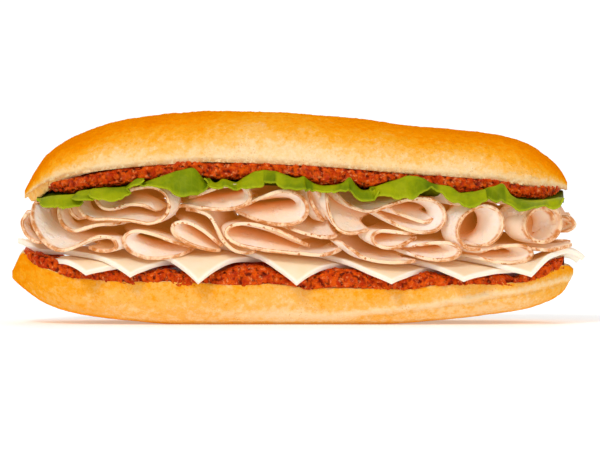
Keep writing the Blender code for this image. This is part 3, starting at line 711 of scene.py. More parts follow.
@dataclass
class BreadHalf:
    """One half of the split roll, with a crust that swells, wrinkles and pales, and a crumb face."""

    half: Half
    along: int = 280
    around: int = 220
    seam: Line = Line(((-101, 4), (-60, 3.2), (-30, 2.4), (-3, 1.9), (11, 1.6), (24, 2.9), (44, 5.3),
                       (57, 7.3), (78, 10.6), (94, 14), (99, 15)))
    toasting: Line = Line(((-103, 0.42), (-98, 0.34), (-92, 0.16), (-84, 0.08), (-72, 0.1), (-58, 0.03),
                           (-45, 0), (-15, -0.03), (2, -0.09), (20, -0.04), (45, -0.07),
                           (65, -0.16), (80, -0.06), (90, 0.1), (99, 0.22)))

    def ends(self) -> tuple[float, float]:
        """Return where this half begins and ends."""
        return LAYOUT.top_ends if self.half is Half.TOP else LAYOUT.bottom_ends

    def station(self, row: int) -> float:
        """Return the place along the roll of a row, closer together at the ends."""
        start, end = self.ends()
        share = row / self.along
        return (start + end) / 2 - (end - start) / 2 * math.cos(math.pi * share)

    def place(self, column: int, row: int) -> tuple[Point, tuple[float, ...]]:
        """Return a point of the crust or the cut face, with its bake, crumb and rim values."""
        x = self.station(row)
        half = LAYOUT.bread_half(x, self.ends())
        turn = (column % self.around) / self.around
        y, z, bake, crumb, rim = (self.top_point if self.half is Half.TOP
                                  else self.bottom_point)(x, half, turn)
        end_fade = min(1.0, half / 12)
        swell = wobble(x, y, z, 34, 2) * 0.7 + wobble(x, y, z, 9, 3) * 0.3
        pores = wobble(x, y, z, 1.8, 2) * 0.3 * crumb
        crinkle = self.crinkle(x, y, z, bake) * (1 - crumb)
        out = (swell * (1 - crumb) + pores + crinkle) * end_fade
        seam = 0.0
        if self.half is Half.BOTTOM:
            above = z - self.seam.at(x) - 0.5 * wobble(x, y, 0, 12, 2)
            held = min(1.0, max(0.0, (x + 40) / 50)) * (1 - crumb)
            seam = math.exp(-((above - 1.6) / 1.3) ** 2) * held
            out += (0.45 * seam - 0.6 * math.exp(-(above / 0.45) ** 2) * held) * end_fade
        centre = self.core(x)
        away = Vector((0.0, y, (z - centre) * 1.4))
        if away.length > 0.001:
            away.normalize()
        if self.half is Half.BOTTOM:
            out *= min(1.0, max(0.0, (z - 0.2) / 3))
        return (x, y + away.y * out, z + away.z * out), (bake - 0.35 * seam, crumb, rim)

    @staticmethod
    def crinkle(x: float, y: float, z: float, bake: float) -> float:
        """Return the fine relief of the crust, deeper where it is baked more."""
        folds = 1 - abs(wobble(x * 0.55, y, z * 1.3, 3.4, 3))
        creases = 0.42 * (folds ** 3 - 0.5) * min(1.0, 0.3 + bake)
        return creases + wobble(x, y, z, 1.3, 2) * 0.07

    def core(self, x: float) -> float:
        """Return the height of the middle of this half at x."""
        if self.half is Half.TOP:
            return (LAYOUT.top_rim.at(x) + LAYOUT.crest.at(x)) / 2
        return (LAYOUT.bottom_rim.at(x) + LAYOUT.belly.at(x)) / 2

    def top_point(self, x: float, half: float, turn: float) -> tuple[float, ...]:
        """Return y, z, bake, crumb and rim round the upper half: dome first, then the cut face."""
        rim = LAYOUT.top_rim.at(x)
        rise = LAYOUT.crest.at(x) - rim
        hang = 1.4 * min(1.0, max(0.0, (x - 66) / 16))
        dome = 0.62
        if turn <= dome:
            angle = math.pi * turn / dome
            across, up = superellipse(min(angle, math.pi - angle), 0.75, 0.85)
            y = math.copysign(half * across, math.cos(angle))
            lip = max(0.0, 1 - up * 8)
            ends = min(1.0, max(0.0, (abs(x) - 72) / 22))
            worn = math.exp(-((x + 10) / 32) ** 2) * 0.26
            bake = max(0.0, up * (1.05 - worn) - 0.06) + 0.25 * ends * min(1.0, up * 3)
            ragged = lip * (0.3 * wobble(x, y, 0, 2.6, 3) + 0.25 * wobble(x, y, 5, 9, 2) - hang)
            return (y * (1 - 0.02 * lip), rim + rise * up + ragged, bake, 0.0, lip)
        share = (turn - dome) / (1 - dome)
        y = -half * (1 - 2 * share)
        inner = abs(y) / max(half, 0.01)
        edge = min(1.0, (1 - inner) / 0.05)
        height = min(LAYOUT.top_cut(x, y), rim + 0.6 * rise * (1 - inner ** 2.67) ** 0.42)
        z = rim - hang + (height - rim + hang) * edge
        browned = min(1.0, max(0.0, (abs(x) - 82) / 8))
        crumb = min(1.0, edge * 1.5) * (1 - 0.7 * browned)
        return (y * 0.995, z, 0.1 + 0.35 * browned, crumb, 1 - edge)

    def bottom_point(self, x: float, half: float, turn: float) -> tuple[float, ...]:
        """Return y, z, bake, crumb and rim round the lower half: crust first, then the cut face."""
        rim = LAYOUT.bottom_rim.at(x)
        belly = LAYOUT.belly.at(x)
        crust = 0.62
        flat = 19.0 * half / LAYOUT.bread_half_width
        if turn <= crust:
            share = 2 * turn / crust - 1
            side = abs(share)
            base = 0.25
            if side < base:
                return (-math.copysign(flat * side / base, share), belly, 0.35, 0.0, 0.0)
            angle = math.pi / 2 * (1 - (side - base) / (1 - base))
            across, up = superellipse(angle, 0.8, 0.9)
            y = flat + (half - flat) * across
            z = rim - 0.3 - (rim - 0.3 - belly) * up
            bake = 0.26 + 0.26 * (1 - up) + 0.34 * max(0.0, up - 0.9) / 0.1
            return (-math.copysign(y, share), z, bake + self.toasting.at(x), 0.0, 0.0)
        share = (turn - crust) / (1 - crust)
        y = half * (2 * share - 1)
        inner = abs(y) / max(half, 0.01)
        edge = min(1.0, (1 - inner) / 0.05)
        dip = 0.5 * min(1.0, 0.2 * (rim - belly))
        return (y * 0.992, rim - dip * edge, 0.15, min(1.0, edge * 1.5), 1 - edge)

    def build(self, larder: Larder) -> Piece:
        """Make this half."""
        grid = Grid(self.around, self.along, self.place, ("bake", "crumb", "rim"))
        return Piece(self.half.value, grid.mesh(wrapped=True), Food.CRUST, larder,
                     (self.half.value,))


# Sauce -----------------------------------------------------------------------------------------------
@dataclass
class SauceLayer:
    """A lumpy band of sauce on one cut face."""

    half: Half
    along: int = 640
    around: int = 120
    lump_size: float = 1.9
    lump_height: float = 0.85
    crowding: float = 0.3
    corners: tuple[float, ...] = (-75.9, -59.9, -35.7, -0.4, 33.5, 59.2, 83.4)
    swelling: float = 1.9
    end_fill: Line = Line(((-99, -3), (-97, -1.1), (-95, 0.7), (-92, 2.3), (-87, 2.4),
                           (-84, 1.9), (-81, 0.6), (-79, 0), (100, 0)))

    def name(self) -> str:
        """Return the node it stands for."""
        return "sauce_top" if self.half is Half.TOP else "sauce_bottom"

    def ends(self) -> tuple[float, float]:
        """Return where the band begins and ends."""
        return (-89.5, 95.0) if self.half is Half.TOP else (-98.5, 95.5)

    def section(self, x: float, turn: float) -> tuple[float, float, float, float]:
        """Return y and z round the band's section, and the way out from it."""
        angle = 2 * math.pi * turn - self.crowding * math.sin(4 * math.pi * turn)
        cos_angle, sin_angle = math.cos(angle), math.sin(angle)
        across = math.copysign(abs(cos_angle) ** 0.35, cos_angle)
        towards_bread = (sin_angle > 0) == (self.half is Half.TOP)
        up = math.copysign(abs(sin_angle) ** (0.3 if towards_bread else 0.42), sin_angle)
        if self.half is Half.TOP:
            half = LAYOUT.bread_half(x, LAYOUT.top_ends) * 0.99
            y = half * across
            high = LAYOUT.top_cut(x, y)
            low = high - LAYOUT.top_sauce_depth.at(x)
            front = min(1.0, 1.7 * abs(across) ** 4)
            low = low * (1 - front) + min(low - 0.8, LAYOUT.leaf_crest.at(x) + 0.1) * front
            start, end = self.ends()
            taper = min(1.0, (x - start) / 9, (end - x) / 7)
            low = high - (high - low) * math.sqrt(max(0.0, taper))
        else:
            half = LAYOUT.bread_half(x, LAYOUT.bottom_ends) * 1.006
            y = half * across
            low = LAYOUT.bottom_rim.at(x) - 0.4 - (0.9 + self.drip(x, y)) * abs(across) ** 12
            droop = LAYOUT.end_droop(x) * min(7.0, abs(y))
            clear = min(abs(x - corner) for corner in self.corners)
            open_share = min(1.0, max(0.0, (clear - 7) / 5)) if abs(across) > 0.8 else 0.0
            high = LAYOUT.cheese_level.at(x) - LAYOUT.sauce_under_cheese + 0.3 - droop
            beyond = min(1.0, max(0.0, (abs(x + 4) - 82) / 6))
            high = max(high, low + 1.2) + max(self.swelling * open_share, 1.7 * beyond)
            high += self.end_fill.at(x)
        out = Vector((math.copysign(abs(cos_angle) ** 1.5, cos_angle), sin_angle)).normalized()
        return y, (low + high) / 2 + (high - low) / 2 * up, out.x, out.y

    @staticmethod
    def drip(x: float, y: float) -> float:
        """Return how far the sauce runs over the rim at x."""
        return 0.3 + 2.6 * max(0.0, wobble(x, 70 * math.copysign(1, y), 0, 11, 3))

    def place(self, column: int, row: int) -> tuple[Point, tuple[float, ...]]:
        """Return a point of the lumpy surface and how high on a lump it is."""
        start, end = self.ends()
        x = (start + end) / 2 - (end - start) / 2 * math.cos(math.pi * row / self.along)
        y, z, out_y, out_z = self.section(x, (column % self.around) / self.around)
        big = lumps(x, y, z, self.lump_size)
        small = lumps(x + 31, y, z, self.lump_size * 0.5)
        fade = min(1.0, min(row, self.along - row) / 12)
        ooze = wobble(x, 40 * math.copysign(1, y), 0, 9, 3)
        rough = wobble(x, y, z, 1.5, 3)
        out = self.lump_height * (0.6 * (big - 0.5) + 0.75 * rough) + 0.3 * (small - 0.6)
        side = min(1.0, abs(y) / max(1.0, LAYOUT.bread_half(x, self.ends()) * 0.9)) ** 4
        out = out * (0.35 + 0.65 * side) + 0.7 * ooze * side
        covered = out_z > 0 if self.half is Half.BOTTOM else out_z < 0
        if covered and side < 0.8:
            out = min(out, 0.0) - 0.25
        out *= fade
        return (x, y + out_y * out, z + out_z * out), (0.4 * big + 0.25 * small + 0.35 + 0.5 * rough,)

    def build(self, larder: Larder) -> Piece:
        """Make the band."""
        grid = Grid(self.around, self.along, self.place, ("lump",))
        return Piece(self.name(), grid.mesh(wrapped=True), Food.SAUCE, larder, (self.name(),))


# Cheese ----------------------------------------------------------------------------------------------
@dataclass(frozen=True)
class CheeseSquare:
    """A square slice laid corner forwards."""

    centre_x: float
    centre_y: float
    corner_x: float
    half_diagonal: float


@dataclass
class CheeseStack:
    """Square slices, each laid over its left neighbour and bent down at its corners."""

    squares: tuple[CheeseSquare, ...] = (
        CheeseSquare(-73.1, -23.4, -75.9, 16.0), CheeseSquare(-59.9, 0.0, -59.9, 41.0),
        CheeseSquare(-34.0, 0.0, -35.7, 43.0), CheeseSquare(-2.0, 0.0, -0.4, 43.0),
        CheeseSquare(28.0, 0.0, 33.5, 43.0), CheeseSquare(60.0, 0.0, 59.2, 42.5),
        CheeseSquare(79.0, -15.6, 83.4, 24.0))
    cells: int = 46
    thickness: float = 1.9
    pitch: float = 2.25
    hinge: float = 28.0
    mound: float = 3.0
    end: float = 95.0
    end_bend: float = 9.0
    bend: Line = Line(((-90, 22), (-76, 17), (-60, 18.5), (-36, 14), (0, 13.5), (17, 19), (33, 27), (60, 28),
                       (72, 22), (84, 17)))
    order: Line = Line(((-100, 0.5), (-76, 0.6), (-60, 0.95), (-45, 1.3), (-30, 1.5), (-15, 2.4),
                        (0, 3), (20, 4), (35, 4.75), (60, 5.1), (80, 5.5), (100, 5.5)))

    def settle(self, index: int, flat_x: float, flat_y: float) -> Point:
        """Return where a point of a flat slice comes to lie."""
        bend = self.bend.at(flat_x)
        angle = max(0.0, abs(flat_y) - self.hinge) / bend
        level = (LAYOUT.cheese_level.at(flat_x)
                 + self.mound * max(0.0, LAYOUT.depth_share(flat_x, flat_y))
                 * LAYOUT.mound.at(flat_x) / 6 - LAYOUT.end_droop(flat_x) * min(7.0, abs(flat_y)))
        lift = self.pitch * (index - self.order.at(flat_x))
        y = math.copysign(min(abs(flat_y), self.hinge) + (bend + lift) * math.sin(angle), flat_y)
        z = level - bend * (1 - math.cos(angle)) + lift * math.cos(angle)
        droop = max(0.0, flat_x - self.end) / self.end_bend
        x = min(flat_x, self.end) + (self.end_bend + lift) * math.sin(droop)
        return x, y, z - (self.end_bend + lift) * (1 - math.cos(droop))

    def build(self, larder: Larder) -> list[Piece]:
        """Make the slices."""
        made = []
        for index, square in enumerate(self.squares):
            turn = math.asin((square.corner_x - square.centre_x) / square.half_diagonal)
            ahead = (math.sin(turn), -math.cos(turn))
            aside = (math.cos(turn), math.sin(turn))
            reach = square.half_diagonal
            side = reach * math.sqrt(2)

            def place(column: int, row: int) -> tuple[Point, tuple[float, ...]]:
                """Return a point of this slice and its distance from the cut edge."""
                u = column / self.cells
                v = row / self.cells
                a = u + v - 1
                b = u - v
                edge = min(u, 1 - u, v, 1 - v) * side
                x, y, z = self.settle(index,
                                      square.centre_x + reach * (a * ahead[0] + b * aside[0]),
                                      square.centre_y + reach * (a * ahead[1] + b * aside[1]))
                hang = max(0.0, abs(y) - 33) / 8
                return (x, y, z + wobble(x, y, index * 9.0, 14) * 0.35 * hang), (edge,)

            name = f"cheese_{index + 1}"
            grid = Grid(self.cells, self.cells, place, ("edge",))
            piece = Piece(name, grid.mesh(), Food.CHEESE, larder, (name,))
            piece.thicken(self.thickness, 0.3)
            made.append(piece)
        return made


# Turkey ----------------------------------------------------------------------------------------------
Path = np.ndarray


@dataclass(frozen=True)
class Drape:
    """A slice laid over and between others, by the points that its edge passes through."""

    edge: tuple[tuple[float, float], ...]
    middle: tuple[tuple[float, float], ...] | None = None
    forward: float = 0.0

    def path(self, inside: bool) -> Path:
        """Return the smooth path at the edge, or inside the sandwich."""
        points = self.middle if inside and self.middle else self.edge
        p = np.array(points, float)
        p = np.vstack([2 * p[0] - p[1], p, 2 * p[-1] - p[-2]])
        path = []
        for a, b, c, d in zip(p, p[1:], p[2:], p[3:]):
            ta = 0.0
            tb = ta + math.sqrt(np.linalg.norm(b - a))
            tc = tb + math.sqrt(np.linalg.norm(c - b))
            td = tc + math.sqrt(np.linalg.norm(d - c))
            for t in np.linspace(tb, tc, 12, endpoint=False):
                ab = (tb - t) / (tb - ta) * a + (t - ta) / (tb - ta) * b
                bc = (tc - t) / (tc - tb) * b + (t - tb) / (tc - tb) * c
                cd = (td - t) / (td - tc) * c + (t - tc) / (td - tc) * d
                abc = (tc - t) / (tc - ta) * ab + (t - ta) / (tc - ta) * bc
                bcd = (td - t) / (td - tb) * bc + (t - tb) / (td - tb) * cd
                path.append((tc - t) / (tc - tb) * abc + (t - tb) / (tc - tb) * bcd)
        path.append(p[-2])
        return np.array(path)

    def hollow(self, x: float, z: float) -> tuple[float, float]:
        """Return the direction to the middle of its hollow: a laid slice has none."""
        return 0.0, 0.0


def towards(x: float, z: float, goal: Path) -> tuple[float, float]:
    """Return the unit direction from a point to a goal."""
    away = math.hypot(goal[0] - x, goal[1] - z) or 1.0
    return float(goal[0] - x) / away, float(goal[1] - z) / away


def run_on(before: Path, start: Path, end: tuple[float, float]) -> Path:
    """Return points that leave start in the direction from before, and bend to end."""
    direction = (start - before) / np.linalg.norm(start - before)
    goal = np.array(end, float)
    pull = start + direction * np.linalg.norm(goal - start) / 2
    t = np.linspace(0, 1, 9)[1:, None]
    return (1 - t) ** 2 * start + 2 * t * (1 - t) * pull + t * t * goal


@dataclass(frozen=True)
class Loop:
    """A slice folded over: round at the nose, its two layers meeting at the tail."""

    nose: tuple[float, float]
    tail: tuple[float, float]
    girth: float
    bow: float = 0.0
    above: tuple[float, float] | None = None
    below: tuple[float, float] | None = None
    pinch: float = 0.62
    forward: float = 0.0
    steps: int = 60

    def path(self, inside: bool) -> Path:
        """Return the path at the edge, or pinched inside the sandwich."""
        nose = np.array(self.nose, float)
        tail = np.array(self.tail, float)
        girth = self.girth * (1 - self.pinch) if inside else self.girth
        axis = nose - tail
        up = np.array([-axis[1], axis[0]]) / np.linalg.norm(axis)
        if up[1] < 0:
            up = -up
        turn = np.linspace(0, 2 * math.pi, self.steps + 1)
        side = np.sin(turn) * np.abs(np.sin(turn / 2)) ** 1.2
        side = side / np.abs(side).max() * max(0.6, (girth - TurkeyFolds.thickness) / 2)
        side = side + TurkeyFolds.half_layers * 1.02 * np.cos(turn / 2)
        along = (1 - np.cos(turn)) / 2
        path = tail + np.outer(along, axis)
        path = path + np.outer(side + self.bow * 4 * along * (1 - along), up)
        if self.above is not None:
            path = np.vstack([run_on(path[1], path[0], self.above)[::-1], path])
        if self.below is not None:
            path = np.vstack([path, run_on(path[-2], path[-1], self.below)])
        return path

    def hollow(self, x: float, z: float) -> tuple[float, float]:
        """Return the direction from a point of the loop to the line through its hollow."""
        nose = np.array(self.nose, float)
        tail = np.array(self.tail, float)
        axis = nose - tail
        share = float(np.dot(np.array((x, z)) - tail, axis) / np.dot(axis, axis))
        if share < 0:
            return 0.0, 0.0
        reach = 1 - 0.5 * self.girth / np.linalg.norm(axis)
        share = min(share, reach)
        up = np.array([-axis[1], axis[0]]) / np.linalg.norm(axis) * math.copysign(1, axis[0])
        return towards(x, z, tail + axis * share + up * self.bow * 4 * share * (1 - share))


@dataclass(frozen=True)
class Roll:
    """A slice rolled up from its inner end out; angles are in degrees."""

    centre: tuple[float, float]
    radius: float
    growth: float
    turns: float
    start: float
    squash: float = 1.0
    tilt: float = 0.0
    to: tuple[float, float] | None = None
    tighten: float = 0.6
    forward: float = 0.0

    def path(self, inside: bool) -> Path:
        """Return the path at the edge, or tightened inside the sandwich."""
        angle = np.linspace(0, 2 * math.pi * self.turns, int(60 * self.turns) + 1)
        radius = self.radius * (1 - self.tighten) if inside else self.radius
        distance = radius + self.growth * angle / (2 * math.pi)
        x = distance * np.cos(angle + math.radians(self.start))
        z = distance * self.squash * np.sin(angle + math.radians(self.start))
        cos_tilt = math.cos(math.radians(self.tilt))
        sin_tilt = math.sin(math.radians(self.tilt))
        path = np.column_stack([self.centre[0] + x * cos_tilt - z * sin_tilt,
                                self.centre[1] + x * sin_tilt + z * cos_tilt])
        if self.to is not None:
            path = np.vstack([path, run_on(path[-2], path[-1], self.to)])
        return path

    def hollow(self, x: float, z: float) -> tuple[float, float]:
        """Return the direction from a point of the roll to its middle."""
        return towards(x, z, np.array(self.centre, float))


@dataclass
class TurkeyFolds:
    """The folded slices, each running from the front side to the back side."""

    thickness = 1.15
    half_layers = 0.85
    spacing: float = 0.85
    rows: int = 44
    mouth: float = 13.0
    refill: float = 14.0
    funnel: float = 21.0
    round_off: float = 6.0
    folds: dict[str, Drape | Loop | Roll] = field(default_factory=lambda: {
        "turkey_end_leaf": Drape(((-97.4, 39.6), (-99.2, 36.6), (-97.9, 32.4), (-95.2, 30),
                                  (-92.3, 29))),
        "turkey_left_cup": Drape(
            ((-95.2, 42.5), (-95.8, 38), (-93.6, 32.8), (-89.6, 28.4), (-85.3, 26.7),
             (-80.5, 27.9), (-75.5, 30.6), (-70, 32.2), (-66.3, 31), (-65.2, 28.3),
             (-67.5, 26.6), (-71.5, 26.2), (-75, 26.8)),
            ((-88.6, 43), (-88.2, 38.6), (-86.4, 35), (-83.4, 32.5), (-80.6, 31.2),
             (-78, 30.4), (-75.5, 29.8), (-70, 29.4), (-66.6, 29), (-65.4, 27.6), (-67.5, 26.4),
             (-71.5, 26.2), (-75, 26.8)),
            forward=1.2),
        "turkey_cup_lining_1": Drape(((-86, 43), (-85.6, 38), (-83.6, 34.8), (-80, 33.4),
                                      (-76, 34.5), (-71, 35.5), (-66.5, 35.4), (-63, 35.3)),
                                     forward=-1.5),
        "turkey_cup_lining_2": Drape(((-82.5, 42.5), (-80.9, 38.9), (-78.4, 36.9)), forward=-3),
        "turkey_upper_fold": Drape(
            ((-79.6, 43.4), (-77.5, 39.4), (-74, 37.9), (-68, 38.1), (-60, 37.7), (-53, 36.7),
             (-48.4, 38.8), (-46.4, 43), (-47.8, 47.2), (-52.5, 49.4), (-58, 48.6),
             (-63.5, 46.2)), forward=0.8),
        "turkey_inner_wave": Drape(((-73.5, 45), (-70.5, 41.8), (-66.5, 41.2), (-61, 42.8),
                                    (-55.5, 42.4), (-51.2, 39.8)), forward=-1.5),
        "turkey_low_loop_1": Loop((-62.6, 30.9), (-39, 25.8), 9.1, bow=-0.4),
        "turkey_top_loop_1": Loop((-16.8, 46.9), (-39, 43.4), 8.6, bow=0.3, below=(-44.6, 40.6),
                                  forward=0.5),
        "turkey_left_loop": Loop((-45, 35.6), (-27.3, 25.9), 7.2, bow=0.5, forward=-0.5),
        "turkey_arch": Drape(((-40.2, 40.2), (-36.5, 40.5), (-32, 39), (-28.8, 34.2),
                              (-26.4, 30), (-22, 26.2), (-15, 25)), forward=-1),
        "turkey_mid_loop_1": Loop((-25.6, 33.7), (4, 26.4), 9, bow=1, below=(15.6, 25.9),
                                  forward=1),
        "turkey_broad_face": Drape(
            ((-4.4, 34.6), (-1, 33.7), (3, 32.3), (8, 31.2), (11, 30.8), (14, 30.8)),
            ((-4.4, 34.6), (-1, 34.1), (3, 34), (8, 33.6), (12.8, 34.9), (17.5, 38.4)), forward=-1.5),
        "turkey_top_loop_2": Loop((3.6, 42.4), (-20.8, 39.7), 12.6, bow=0.9, pinch=0.8,
                                  forward=1),
        "turkey_pinch": Loop((5, 49.2), (10.2, 36.4), 4.2, pinch=0, forward=-1),
        "turkey_flap": Drape(
            ((10.4, 48.5), (11.4, 41), (14.6, 34.6), (19, 33), (25.4, 33.6)),
            ((10.4, 48.5), (12.4, 44.1), (16.4, 41.7), (21.4, 39.5), (28.8, 36.8)), forward=1.5),
        "turkey_top_loop_3": Loop((53, 38.8), (28, 40.4), 12.6, above=(14.3, 46.2), pinch=0.5,
                                  forward=0.5),
        "turkey_loop_lining": Drape(
            ((33, 41.2), (37, 39.6), (41.5, 37.6), (46.5, 36.6), (50.2, 38)),
            ((31, 40.4), (36, 40), (41.5, 39.7), (46.5, 39.4), (50, 39.2)), forward=-1.5),
        "turkey_mid_loop_2": Loop((27, 31.2), (42.5, 30.8), 6.2, bow=-0.5, forward=-0.5),
        "turkey_low_sheet": Drape(((16, 29.2), (20, 27), (24.5, 24.3), (31, 23.1), (37, 22.8),
                                   (42, 22.6)), forward=1.5),
        "turkey_low_loop_2": Loop((58.3, 26.6), (39, 26), 6.6, bow=0.3, forward=0.5),
        "turkey_roll_1": Roll((66, 35.2), 7.5, 1.8, 1.1, 205, squash=0.85, tilt=38,
                              forward=1),
        "turkey_cover": Drape(((49, 47), (52.4, 46), (55.4, 43.4), (58.6, 42.9), (62, 44.3),
                               (67, 44.7), (73, 44), (78, 42.4)), forward=-2),
        "turkey_low_loop_3": Loop((84.2, 25.6), (64.9, 24), 6.6, bow=0.5),
        "turkey_roll_2": Roll((87.6, 36), 4.6, 2.1, 1.62, 300, to=(75.6, 37.8), tighten=0.45,
                              forward=-0.5),
        "turkey_tip_1": Drape(((96.8, 38.6), (99.8, 35.2), (96.6, 32.6)), forward=-3),
        "turkey_tip_2": Drape(((85.2, 27.3), (91, 26.9), (98.3, 28.4)), forward=1)})

    def build(self, larder: Larder) -> list[Piece]:
        """Make every slice."""
        return [self.build_slice(name, fold, larder) for name, fold in self.folds.items()]

    def build_slice(self, name: str, fold: Drape | Loop | Roll, larder: Larder) -> Piece:
        """Make one slice from its fold."""
        edge = fold.path(inside=False)
        inner = fold.path(inside=True)
        travelled = np.concatenate([[0], np.cumsum(np.linalg.norm(np.diff(edge, axis=0), axis=1))])
        length = travelled[-1]
        columns = max(8, round(length / self.spacing))
        even = np.linspace(0, length, columns + 1)
        index = np.interp(even, travelled, np.arange(len(edge)))
        seed = sum(ord(letter) for letter in name) * 1.7
        rounding = min(self.round_off, length * 0.14)

        def along(path: Path, column: int) -> tuple[float, float]:
            """Return the point of a path at a column."""
            low = min(int(index[column]), len(path) - 2)
            part = index[column] - low
            x, z = path[low] * (1 - part) + path[low + 1] * part
            return float(x), float(z)

        def place(column: int, row: int) -> tuple[Point, tuple[float, ...]]:
            """Return a point of the slice, its distances from the rind and the way to its hollow."""
            x, z = along(edge, column)
            in_x, in_z = along(inner, column)
            half = LAYOUT.filling_half(x)
            share = column / columns
            frill = wobble(even[column], seed, 0, 9, 3)
            reach = half + fold.forward - rounding * abs(2 * share - 1) ** 5 + 0.7 * frill
            even_side = 2 * row / self.rows - 1
            side = 0.3 * even_side + 0.7 * math.sin(math.pi / 2 * even_side)
            y = reach * side
            depth = min(1.0, max(0.0, 1 - abs(y) / reach) * LAYOUT.mound_share)
            sunk = reach - abs(y)
            turned = math.sin(math.pi / 2 * min(1.0, sunk / self.mouth))
            if isinstance(fold, Roll):
                turned = math.sin(math.pi / 2 * min(1.0, sunk / self.funnel)) ** 2
            elif isinstance(fold, Loop):
                turned *= 1 - min(1.0, max(0.0, (sunk - self.mouth) / self.refill))
            sway = LAYOUT.fan.at(x) * depth + LAYOUT.sway.at(x) * math.sin(2 * math.pi * depth)
            start = -LAYOUT.mound_share * (reach - half) / half
            mound = start + (1 - start) * depth
            px = x + (in_x - x) * turned + sway
            pz = z + (in_z - z) * turned + LAYOUT.mound.at(x) * mound
            ripple = wobble(even[column] * 0.6, seed + 5, y * 0.5, 7, 2) * 0.16
            rind = min(sunk, even[column], length - even[column])
            return (px, y, pz + ripple), (rind, sunk, *fold.hollow(x, z))

        # inward and the hollow direction steer the painted shade inside the folds.
        grid = Grid(columns, self.rows, place, ("edge", "inward", "hollow_x", "hollow_z"))
        piece = Piece(name, grid.mesh(), Food.TURKEY, larder, (name,))
        piece.thicken(self.thickness, 0.28)
        return piece


# Lettuce ---------------------------------------------------------------------------------------------
@dataclass(frozen=True)
class Leaf:
    """One leaf, by the ruffles of its edge: (x, crest height, edge height, edge forward by)."""

    name: str
    slide: float
    ruffles: tuple[tuple[float, float, float, float], ...]


